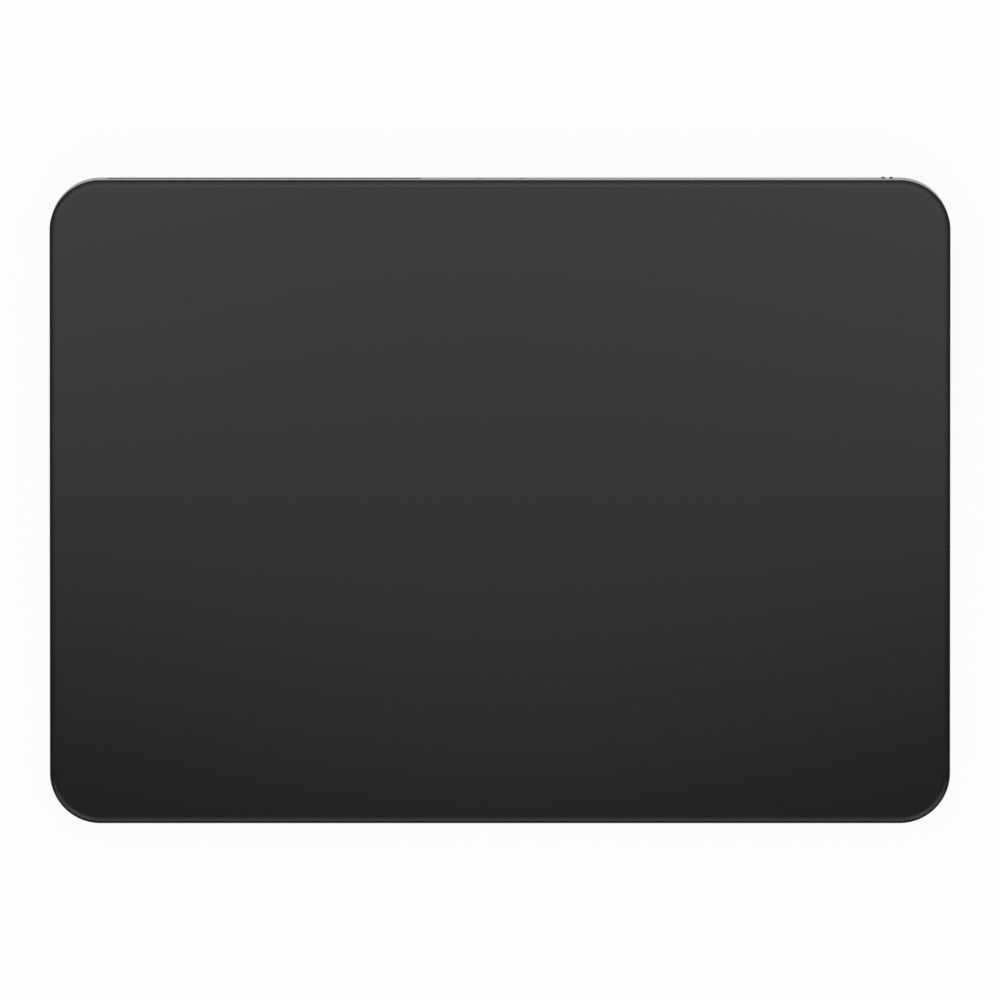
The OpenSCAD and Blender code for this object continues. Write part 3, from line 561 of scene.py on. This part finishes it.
def make_board_tracks():
    """Solder mask over etched copper: small fields of fine tracks, along or across, and full areas."""
    tree, given, place = new_finish("Board Tracks", {"Fields per Metre": 330.0, "Tracks per Metre": 2600.0})
    fields = add_node(tree, "ShaderNodeTexVoronoi", {
        "Vector": place, "Scale": given["Fields per Metre"], "Randomness": 0.8,
    }, distance="CHEBYCHEV")
    chance = add_node(tree, "ShaderNodeSeparateColor", {"Color": fields.outputs["Color"]}).outputs
    axes = add_node(tree, "ShaderNodeSeparateXYZ", {0: place}).outputs
    turned = maths(tree, "GREATER_THAN", chance["Red"], 0.5)
    across = between(tree, turned, axes["X"], axes["Y"])
    wave = maths(tree, "PINGPONG", maths(tree, "MULTIPLY", across, given["Tracks per Metre"]), 1.0)
    tracks = maths(tree, "GREATER_THAN", wave, 0.55)
    full = maths(tree, "GREATER_THAN", chance["Green"], 0.72)
    share = maths(tree, "MAXIMUM", tracks, full)
    return close_finish(tree, given, share, share)


board_tracks = make_board_tracks()
masked_board = material_of("masked circuit board", board_tracks, {
    "Colour": (0.010, 0.040, 0.026, 1),
    "Second Colour": (0.020, 0.085, 0.050, 1),
    "Roughness": 0.38,
    "Second Roughness": 0.30,
}, bump=0.4, depth=0.03, Coat_Weight=0.25)
put_refined("cells", "battery_cells", cell_edge_r, cell_film, segments=6)
dress("battery_adhesive", white_tape)
dress("battery_protection_board", masked_board)
dress("battery_flex", film_along_x)

# Logic board
# The main circuit board hangs from the deck by four screws. It carries moulded chips, one tinned can over
# the radio, and ivory press-on connectors for the films that come to it.
chip_edge_r = 0.05
can_edge_r = 0.08
connector_edge_r = 0.08

moulded_chip = material_of("moulded chip epoxy", fine_grain, {
    "Colour": (0.012, 0.012, 0.013, 1),
    "Second Colour": (0.022, 0.022, 0.023, 1),
    "Roughness": 0.55,
    "Second Roughness": 0.68,
    "Grains per Metre": 16000.0,
}, bump=0.3, depth=0.01)
ivory_plastic = material_of("ivory connector plastic", fine_grain, {
    "Colour": (0.66, 0.60, 0.46, 1),
    "Second Colour": (0.58, 0.52, 0.39, 1),
    "Roughness": 0.45,
    "Second Roughness": 0.55,
    "Grains per Metre": 9000.0,
}, bump=0.15, depth=0.01)
tinned_steel = material_of("tinned sheet steel", rolled_streaks, {
    "Colour": (0.58, 0.58, 0.585, 1),
    "Second Colour": (0.46, 0.46, 0.47, 1),
    "Roughness": 0.26,
    "Second Roughness": 0.38,
}, bump=0.2, depth=0.006, Metallic=1.0)
dress("logic_board", masked_board)
put_refined("chips", "board_chips", chip_edge_r, moulded_chip)
put_refined("radio_can", "shield_can", can_edge_r, tinned_steel)
put_refined("film_connectors", "board_connectors", connector_edge_r, ivory_plastic)
put_screws("main_screws", "board_screws", facing_down)

# Charging socket
# A drawn steel shell round a moulded tongue that carries a row of plated contacts on each face.
# It is soldered to a board of its own, which two screws hold under the deck behind the rear wall's opening.
shell_edge_r = 0.08
tongue_edge_r = 0.06

black_plastic = material_of("black moulded plastic", fine_grain, {
    "Colour": (0.013, 0.013, 0.014, 1),
    "Second Colour": (0.022, 0.022, 0.023, 1),
    "Roughness": 0.42,
    "Second Roughness": 0.54,
    "Grains per Metre": 9000.0,
}, bump=0.2, depth=0.01)
gold_plate = material_of("gold contact plate", rolled_streaks, {
    "Colour": (0.80, 0.55, 0.20, 1),
    "Second Colour": (0.68, 0.44, 0.14, 1),
    "Roughness": 0.22,
    "Second Roughness": 0.34,
    "Streaks per Metre": (9000.0, 500.0, 9000.0),
}, bump=0.15, depth=0.004, Metallic=1.0)
put_refined("socket_shell", "port_shell", shell_edge_r, tinned_steel)
put_refined("socket_tongue", "port_tongue", tongue_edge_r, black_plastic)
dress("port_contacts", gold_plate)
dress("port_board", masked_board)
put_screws("socket_screws", "port_screws", facing_down)
dress("port_flex", film_along_x)

# Power switch
# A moulded nub slides in a slot of the rear wall and moves a small switch, which hangs in a sprung bracket.
# The nub is silver with two dark grips. Its flange is coloured dark as painted shade in the slot, and a
# green mark on it shows in the slot while it is on.
nub_x = 68.8
grip_pitch = 1.4
grip_width = 0.56
flange_front = 55.25
nub_edge_r = 0.05
case_edge_r = 0.08
frame_edge_r = 0.05


def make_nub_grips_and_shade():
    """A moulded grain in two colours: the second lies on two grips round the middle, and on the flange as
    painted shade in the slot.
    """
    tree, given, place = new_finish("Nub Grips and Painted Slot Shade", {
        "Middle": 0.0, "Pitch": 0.001, "Width": 0.0005, "Outward": (0.0, 1.0, 0.0), "Flange": 0.05,
    })
    across = add_node(tree, "ShaderNodeSeparateXYZ", {0: place}).outputs["X"]
    from_middle = maths(tree, "ABSOLUTE", maths(tree, "SUBTRACT", across, given["Middle"]))
    from_grip = maths(tree, "SUBTRACT", from_middle, maths(tree, "MULTIPLY", given["Pitch"], 0.5))
    half_width = maths(tree, "MULTIPLY", given["Width"], 0.5)
    grip = maths(tree, "LESS_THAN", maths(tree, "ABSOLUTE", from_grip), half_width)
    # Everything behind the flange's front takes the dark second colour, as painted shade inside the slot.
    painted_slot_shade = maths(tree, "LESS_THAN", along(tree, place, given["Outward"]), given["Flange"])
    grain = noise(tree, place, 9000.0, 2.0)
    grips_and_slot_shade = maths(tree, "MAXIMUM", grip, painted_slot_shade)
    share = maths(tree, "MAXIMUM", grips_and_slot_shade, maths(tree, "MULTIPLY", grain, 0.12))
    return close_finish(tree, given, share, grain)


# The dark second colour covers the grips and, as painted shade in the slot, the flange.
nub_plastic = material_of("silver nub plastic", make_nub_grips_and_shade(), {
    "Colour": (0.70, 0.70, 0.71, 1),
    "Second Colour": (0.11, 0.11, 0.115, 1),
    "Roughness": 0.40,
    "Second Roughness": 0.55,
    "Middle": nub_x * mm,
    "Pitch": grip_pitch * mm,
    "Width": grip_width * mm,
    "Outward": (0.0, math.cos(slope), math.sin(slope)),
    "Flange": (flange_front + glass_y * math.cos(slope) + mid_h * math.sin(slope)) * mm,
}, bump=0.15, depth=0.01)
green_paint = material_of("green marking paint", fine_grain, {
    "Colour": (0.035, 0.36, 0.065, 1),
    "Second Colour": (0.028, 0.29, 0.052, 1),
    "Roughness": 0.35,
    "Second Roughness": 0.48,
    "Grains per Metre": 7000.0,
}, bump=0.2, depth=0.01)
spring_steel = material_of("rolled spring steel", rolled_streaks, {
    "Colour": (0.40, 0.405, 0.41, 1),
    "Second Colour": (0.30, 0.305, 0.31, 1),
    "Roughness": 0.30,
    "Second Roughness": 0.44,
}, bump=0.25, depth=0.008, Metallic=1.0)
put_refined("power_nub", "power_slider", nub_edge_r, nub_plastic)
dress("switch_indicator", green_paint)
put_refined("switch_case", "switch_housing", case_edge_r, black_plastic)
put_refined("switch_frame", "switch_bracket", frame_edge_r, spring_steel)
put_screws("switch_frame_screws", "switch_screws", facing_down)
dress("switch_flex", film_along_y)

# Antenna
# A strip of grey plastic let flush into the rear wall lets the radio through the metal.
# A copper strip lies against its back, and a thin coaxial cable runs from it to the logic board.
window_x = -41.9
window_z = -6.0
window_face = (55.7, 4.2, 0.95)
window_boss = (54.3, 2.8, 0.95)
window_edge_r = 0.08
window_floor = 56.35
rear_in = 55.65
rear_face = pad_d / 2 - body_trim


def window_ring(size, inset, y):
    """A ring of the window strip at one depth in the rear wall."""
    outline = rounded_outline(size[0] - 2 * inset, size[1] - 2 * inset, size[2] - inset, 8)
    return [on_slope(window_x + x, y, window_z + z) for x, z in outline]


window_plastic = material_of("grey window plastic", fine_grain, {
    "Colour": (0.130, 0.130, 0.137, 1),
    "Second Colour": (0.112, 0.112, 0.118, 1),
    "Roughness": 0.72,
    "Second Roughness": 0.82,
    "Grains per Metre": 9000.0,
}, bump=0.2, depth=0.01, Specular_IOR_Level=0.2)
copper_foil = material_of("copper foil", rolled_streaks, {
    "Colour": (0.62, 0.26, 0.12, 1),
    "Second Colour": (0.48, 0.19, 0.085, 1),
    "Roughness": 0.30,
    "Second Roughness": 0.44,
}, bump=0.2, depth=0.008, Metallic=1.0)
cable_jacket = material_of("drawn cable jacket", even_bands, {
    "Colour": (0.055, 0.055, 0.058, 1),
    "Second Colour": (0.085, 0.085, 0.088, 1),
    "Roughness": 0.40,
    "Second Roughness": 0.50,
    "Bands per Metre": (1400.0, 1400.0, 900.0),
    "Drift": 0.5,
}, bump=0.2, depth=0.01)

window_rings = [window_ring(window_boss, 0, rear_in), window_ring(window_boss, 0, window_floor)]
window_rings.append(window_ring(window_face, 0, window_floor))
window_rings += [window_ring(window_face, inset, rear_face - back)
                 for inset, back in quarter_arc(window_edge_r, 3)]
window = loft("window", window_rings)
even_shading(window)
stand_for(window, "antenna_window", window_plastic)
dress("antenna_element", copper_foil)
dress("antenna_coax", cable_jacket)

# Spring brackets
# Four flat steel springs are screwed to the deck near the corners, each with strain gauges on its beam.
# A soft gel pad on each tip carries the touch plate and lets it shiver sideways.
gel_x = 48
gel_y = 44.05
gel_w = 7
gel_low = -2.45
gel_t = 0.45
gel_waist = 0.25
gel_corner = 1.2
spring_root = 66
spring_tip = 52
bend_steps = 12


def gel_ring(side_x, side_y, part):
    """A ring of a gel pad at a part of its height, drawn in at its faces."""
    inset = gel_waist * (2 * part - 1) ** 4
    outline = rounded_outline(gel_w - 2 * inset, gel_w - 2 * inset, gel_corner, 6)
    return [on_slope(side_x * gel_x + x, side_y * gel_y + y, gel_low + gel_t * part) for x, y in outline]


def bending(name, node, side, start, end):
    """A CAD node's solids on one side, cut into short lengths from start to end."""
    shape = welded_bmesh(node)
    other_side = [v for v in shape.verts if v.co.x * side < 0]
    bmesh.ops.delete(shape, geom=other_side, context="VERTS")
    start, end = Vector(start) * mm, Vector(end) * mm
    for step in range(bend_steps + 1):
        everything = shape.verts[:] + shape.edges[:] + shape.faces[:]
        cut = start.lerp(end, step / bend_steps)
        bmesh.ops.bisect_plane(shape, geom=everything, dist=1e-7, plane_co=cut, plane_no=end - start)
    piece = as_object(name, shape)
    even_shading(piece)
    return piece


def bend_for(piece, node, material):
    """The piece takes a CAD node's place and a material of its own, and its place is baked into its mesh.
    """
    piece.data.materials.clear()
    piece.data.materials.append(material)
    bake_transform(piece)
    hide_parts(node)


soft_gel = material_of("soft amber gel", fine_grain, {
    "Colour": (0.52, 0.43, 0.31, 1),
    "Second Colour": (0.46, 0.37, 0.26, 1),
    "Roughness": 0.22,
    "Second Roughness": 0.32,
    "Grains per Metre": 1200.0,
}, bump=0.1, depth=0.02, Subsurface_Weight=0.3, Subsurface_Scale=0.002)
gauge_film = printed_film("strain gauge film", (5500.0, 0.0, 0.0))

pads = bmesh.new()
for side_x in (-1, 1):
    for side_y in (-1, 1):
        add_loft(pads, [gel_ring(side_x, side_y, step / 10) for step in range(11)])
gel_pads = as_object("gel_cushions", pads)
even_shading(gel_pads, 50)
stand_for(gel_pads, "gel_pads", soft_gel)
for hand, side in (("left", -1), ("right", 1)):
    root, tip = (side * spring_root, 0, 0), (side * spring_tip, 0, 0)
    springs = bending("springs_" + hand, "flexure_brackets", side, root, tip)
    bend_for(springs, "flexure_brackets", spring_steel)
    gauges = bending("gauges_" + hand, "strain_gauges", side, root, tip)
    bend_for(gauges, "strain_gauges", gauge_film)
put_screws("spring_screws", "bracket_screws", -facing_down)
dress("gauge_flex", film_along_y)

# Touch plate
# A steel plate stiffens the touch sensor board, which is bonded to the glass above it.
# The armature that the two cores pull from side to side is fixed under the plate's middle.
# A loose film joins the sensor to the logic board.
flex_board_end = (45, 17.5, 0)
flex_plate_end = (45, 12.5, 0)
armature_edge_r = 0.12
plug_edge_r = 0.08

sheet_steel = material_of("rolled sheet steel", rolled_streaks, {
    "Colour": (0.34, 0.345, 0.35, 1),
    "Second Colour": (0.26, 0.265, 0.27, 1),
    "Roughness": 0.36,
    "Second Roughness": 0.48,
}, bump=0.3, depth=0.01, Metallic=1.0)
clear_bond = material_of("clear bonding film", fine_grain, {
    "Colour": (0.60, 0.60, 0.57, 1),
    "Second Colour": (0.54, 0.54, 0.51, 1),
    "Roughness": 0.15,
    "Second Roughness": 0.25,
    "Grains per Metre": 2500.0,
}, bump=0.1, depth=0.01, Transmission_Weight=0.6)
dress("stiffener_plate", sheet_steel)
dress("touch_sensor_board", masked_board)
put_refined("sensor_plug", "sensor_connector", plug_edge_r, black_plastic)
put_refined("armature", "haptic_armature", armature_edge_r, stacked_steel)
dress("glass_bond", clear_bond)
sensor_film = bending("sensor_film", "sensor_flex", 1, flex_board_end, flex_plate_end)
bend_for(sensor_film, "sensor_flex", film_along_y)

# Dust seal
# A thin strip of black foam stuck along the body's rim, just under the edge of the glass.
# It lies in the gap that the glass needs for its travel, and its black is partly the foam's own and partly
# painted shade for the shadow in that gap.
seal_out = (159.4, 113.9, 8.7)
seal_in = (157.1, 111.6, 7.55)
seal_t = 0.1
seal_edge_r = 0.04


def seal_ring(size, grow, up):
    """A ring of the seal, moved outwards or inwards, at one height over the rim."""
    outline = rounded_outline(size[0] + 2 * grow, size[1] + 2 * grow, size[2] + grow)
    return [on_slope(x, y, rim_top + up) for x, y in outline]


def make_foam_cells():
    """Small open cells, side by side."""
    tree, given, place = new_finish("Foam Cells", {"Cells per Metre": 9000.0})
    cells = add_node(tree, "ShaderNodeTexVoronoi", {"Vector": place, "Scale": given["Cells per Metre"]})
    return close_finish(tree, given, cells.outputs["Distance"], cells.outputs["Distance"])


# The near-black colour is partly the foam's own and partly painted shade for the gap under the glass.
black_foam_and_gap_shade = material_of("black sealing foam and gap shade", make_foam_cells(), {
    "Colour": (0.006, 0.006, 0.006, 1),
    "Second Colour": (0.014, 0.014, 0.014, 1),
    "Roughness": 0.85,
    "Second Roughness": 0.95,
}, bump=0.6, depth=0.03)

seal_edge = quarter_arc(seal_edge_r, 3)
seal_rings = [seal_ring(seal_in, 0, 0), seal_ring(seal_out, 0, 0)]
seal_rings += [seal_ring(seal_out, -inset, seal_t - down) for inset, down in seal_edge]
seal_rings += [seal_ring(seal_in, inset, seal_t - down) for inset, down in reversed(seal_edge)]
seal_strip = bmesh.new()
add_sleeve(seal_strip, seal_rings)
seal = as_object("seal", seal_strip)
even_shading(seal, 50)
stand_for(seal, "dust_seal", black_foam_and_gap_shade)

# Cover glass
# One sheet of black satin glass, etched to a fine tooth on top, with a polished round along its edge.
# It is bonded all over to the touch sensor board.
glass_edge_w = 1.3
glass_edge_h = 0.6
glass_foot = 0.12


def glass_ring(inset, z):
    """A ring of the glass, a given distance inside its outline."""
    outline = rounded_outline(pad_w - 2 * inset, pad_d - 2 * inset, corner_r - inset, 28)
    return [on_slope(x, y, z) for x, y in outline]


etched_glass = material_of("etched black glass", fine_grain, {
    "Colour": (0.0050, 0.0051, 0.0054, 1),
    "Second Colour": (0.0062, 0.0063, 0.0066, 1),
    "Roughness": 0.16,
    "Second Roughness": 0.19,
    "Grains per Metre": 12000.0,
}, bump=0.05, depth=0.004, IOR=1.5, Specular_IOR_Level=0.35, Specular_Tint=(0.925, 0.955, 1.0, 1))

glass_rings = [glass_ring(glass_foot, -glass_t), glass_ring(0, glass_foot - glass_t)]
for step in range(13):
    angle = math.radians(90 * step / 12)
    glass_rings.append(glass_ring(
        glass_edge_w * (1 - math.cos(angle)), glass_edge_h * (math.sin(angle) - 1)
    ))
glass = loft("glass", glass_rings)
even_shading(glass)
stand_for(glass, "cover_glass", etched_glass)

# Bottom cover
# A plain aluminium plate, blasted and anodised like the body, closes the underside.
# A frame of black adhesive holds it in the recess of the body's base.
cover_edge_r = 0.1

black_adhesive = material_of("black adhesive film", fine_grain, {
    "Colour": (0.010, 0.010, 0.010, 1),
    "Second Colour": (0.018, 0.018, 0.018, 1),
    "Roughness": 0.60,
    "Second Roughness": 0.75,
    "Grains per Metre": 3000.0,
}, bump=0.3, depth=0.02)
put_refined("base_plate", "bottom_cover", cover_edge_r, blasted_aluminium)
dress("cover_adhesive", black_adhesive)

# Rubber feet
# Four round feet of moulded rubber, glued into shallow seats of the bottom cover.
# Their soles are flat and their lower edges are round, as they leave the mould.
foot_x = 65.88
foot_y = 43.21
base_y = 0.137
foot_r = 5.5
foot_top = 0.7
foot_edge_r = 0.35
sole_r = 4.8
sole_gap = 0.01


def foot_ring(x, y, radius, z):
    """A ring of a foot at one height."""
    turns = [2 * math.pi * i / 64 for i in range(64)]
    return [((x + radius * math.cos(a)) * mm, (y + radius * math.sin(a)) * mm, z * mm) for a in turns]


foot_rubber = material_of("grey foot rubber", fine_grain, {
    "Colour": (0.036, 0.036, 0.038, 1),
    "Second Colour": (0.050, 0.050, 0.052, 1),
    "Roughness": 0.68,
    "Second Roughness": 0.80,
    "Grains per Metre": 6000.0,
}, bump=0.35, depth=0.02)

feet_mesh = bmesh.new()
for side_x in (-1, 1):
    for side_y in (-1, 1):
        x, y = side_x * foot_x, base_y + side_y * foot_y
        foot_rings = [foot_ring(x, y, foot_r, foot_top)]
        for inset, up in quarter_arc(foot_edge_r, 6):
            foot_rings.append(foot_ring(x, y, foot_r - inset, sole_gap + up))
        foot_rings.append(foot_ring(x, y, sole_r, sole_gap))
        add_loft(feet_mesh, foot_rings)
feet = as_object("feet", feet_mesh)
even_shading(feet, 50)
stand_for(feet, "rubber_feet", foot_rubber)

# Studio
# A white table under one large softbox that is brightest over the object's rear, with soft cards around it.
# The camera looks straight down with a long lens. None of it is part of the object.
floor_half = 15
floor_y = 6
floor_glow = 0.90
room_light = 0.15
lens_height = 6
lens_y = 0.057
view_y = 0.00002
view_width = 0.17785
sensor = 36
box_height = 0.6
box_front = -0.117
box_rear = 0.95
box_half = 0.9
box_light = 1.13
box_fade = 1.1
side_spread = 0.09
side_back = 0.03
side_hot = 0.045
hot_light = 1.20
hot_spread = 0.33
hot_y = 0.065
hot_front = 0.062
hot_rear = 0.3


def flat_panel(name, outline, height):
    """A flat sheet with the given outline, facing up."""
    shape = bmesh.new()
    shape.faces.new([shape.verts.new((x, y, height)) for x, y in outline])
    mesh = bpy.data.meshes.new(name)
    shape.to_mesh(mesh)
    shape.free()
    panel = bpy.data.objects.new(name, mesh)
    bpy.context.scene.collection.objects.link(panel)
    return panel


floor_corners = ((-1, -1), (1, -1), (1, 1), (-1, 1))
floor = flat_panel("floor", [(x * floor_half, y * floor_half + floor_y) for x, y in floor_corners], 0)
table_white = bpy.data.materials.new("white table")
table_white.use_nodes = True
tree = table_white.node_tree
tree.nodes.clear()
path = add_node(tree, "ShaderNodeLightPath").outputs
seen = maths(tree, "MAXIMUM", path["Is Camera Ray"], path["Is Glossy Ray"])
seen = maths(tree, "MAXIMUM", seen, path["Is Transmission Ray"])
paper = add_node(tree, "ShaderNodeBsdfDiffuse", {"Color": (0.92, 0.92, 0.92, 1)}).outputs[0]
glow = add_node(tree, "ShaderNodeEmission", {"Color": (1, 1, 1, 1), "Strength": 1.0}).outputs[0]
shown = maths(tree, "MULTIPLY", seen, floor_glow)
lit = add_node(tree, "ShaderNodeMixShader", {0: shown, 1: paper, 2: glow})
clear = add_node(tree, "ShaderNodeBsdfTransparent").outputs[0]
behind = add_node(tree, "ShaderNodeNewGeometry").outputs["Backfacing"]
sided = add_node(tree, "ShaderNodeMixShader", {0: behind, 1: lit.outputs[0], 2: clear})
add_node(tree, "ShaderNodeOutputMaterial", {"Surface": sided.outputs[0]})
floor.data.materials.append(table_white)

room = bpy.data.worlds.new("room")
room.use_nodes = True
room.node_tree.nodes["Background"].inputs["Color"].default_value = (1, 1, 1, 1)
room.node_tree.nodes["Background"].inputs["Strength"].default_value = room_light
bpy.context.scene.world = room

bow_points = 120
box_outline = [(box_half, box_rear), (-box_half, box_rear)]
for step in range(bow_points + 1):
    x = box_half * (2 * step / bow_points - 1)
    box_outline.append((x, box_front + side_back * (1 - math.exp(-(x / side_spread) ** 2))))
softbox = flat_panel("softbox", box_outline, box_height)
softbox.visible_camera = False
cloth = bpy.data.materials.new("softbox cloth")
cloth.use_nodes = True
tree = cloth.node_tree
tree.nodes.clear()
place = add_node(tree, "ShaderNodeNewGeometry").outputs["Position"]
across = add_node(tree, "ShaderNodeSeparateXYZ", {0: place}).outputs


def bell(tree, away):
    """One at nothing, falling off smoothly on both sides."""
    return maths(tree, "EXPONENT", maths(tree, "MULTIPLY", maths(tree, "MULTIPLY", away, away), -1.0))


middle = bell(tree, maths(tree, "DIVIDE", across["X"], side_spread))
to_side = maths(tree, "MULTIPLY", maths(tree, "SUBTRACT", 1.0, middle), side_hot)
past_hot = maths(tree, "SUBTRACT", maths(tree, "ADD", across["Y"], to_side), hot_y)
before = maths(tree, "DIVIDE", maths(tree, "MINIMUM", past_hot, 0.0), hot_front)
after = maths(tree, "DIVIDE", maths(tree, "MAXIMUM", past_hot, 0.0), hot_rear)
hot = maths(tree, "MULTIPLY", bell(tree, maths(tree, "ADD", before, after)), hot_light)
warm = maths(tree, "MULTIPLY", hot, bell(tree, maths(tree, "DIVIDE", across["X"], hot_spread)))
fade = bell(tree, maths(tree, "DIVIDE", across["X"], box_fade))
level = maths(tree, "MULTIPLY", maths(tree, "ADD", warm, box_light), fade)
light = add_node(tree, "ShaderNodeEmission", {"Strength": level})
add_node(tree, "ShaderNodeOutputMaterial", {"Surface": light.outputs[0]})
softbox.data.materials.append(cloth)


def soft_card(name, place, size, radiance):
    """A soft, even rectangular light that faces the object and that the camera doesn't see."""
    lamp = bpy.data.lights.new(name, "AREA")
    lamp.shape = "RECTANGLE"
    lamp.size, lamp.size_y = size
    lamp.energy = radiance * math.pi * size[0] * size[1]
    card = bpy.data.objects.new(name, lamp)
    card.location = place
    card.rotation_euler = Vector(place).to_track_quat("Z", "Y").to_euler()
    card.visible_camera = False
    bpy.context.scene.collection.objects.link(card)


soft_card("upper front card", (0, -0.40, 0.81), (0.8, 0.26), 0.8)
soft_card("lower front card", (0, -0.64, 0.64), (0.6, 0.26), 1.75)
soft_card("rear card", (0, 1.15, 0.15), (1.8, 0.3), 1.3)
for side in (-1, 1):
    soft_card("side card", (1.1 * side, 0, 0.08), (1.0, 0.16), 0.35)
    soft_card("corner card", (0.46 * side, -0.50, 0.60), (0.50, 0.50), 1.35)

lens = bpy.data.cameras.new("camera")
lens.sensor_width = sensor
lens.lens = sensor * lens_height / view_width
lens.clip_end = 20
camera = bpy.data.objects.new("camera", lens)
camera.location = (0, lens_y, lens_height)
camera.rotation_euler = (-math.atan2(lens_y - view_y, lens_height), 0, 0)
bpy.context.scene.collection.objects.link(camera)
bpy.context.scene.camera = camera
bpy.context.scene.view_settings.view_transform = "Standard"
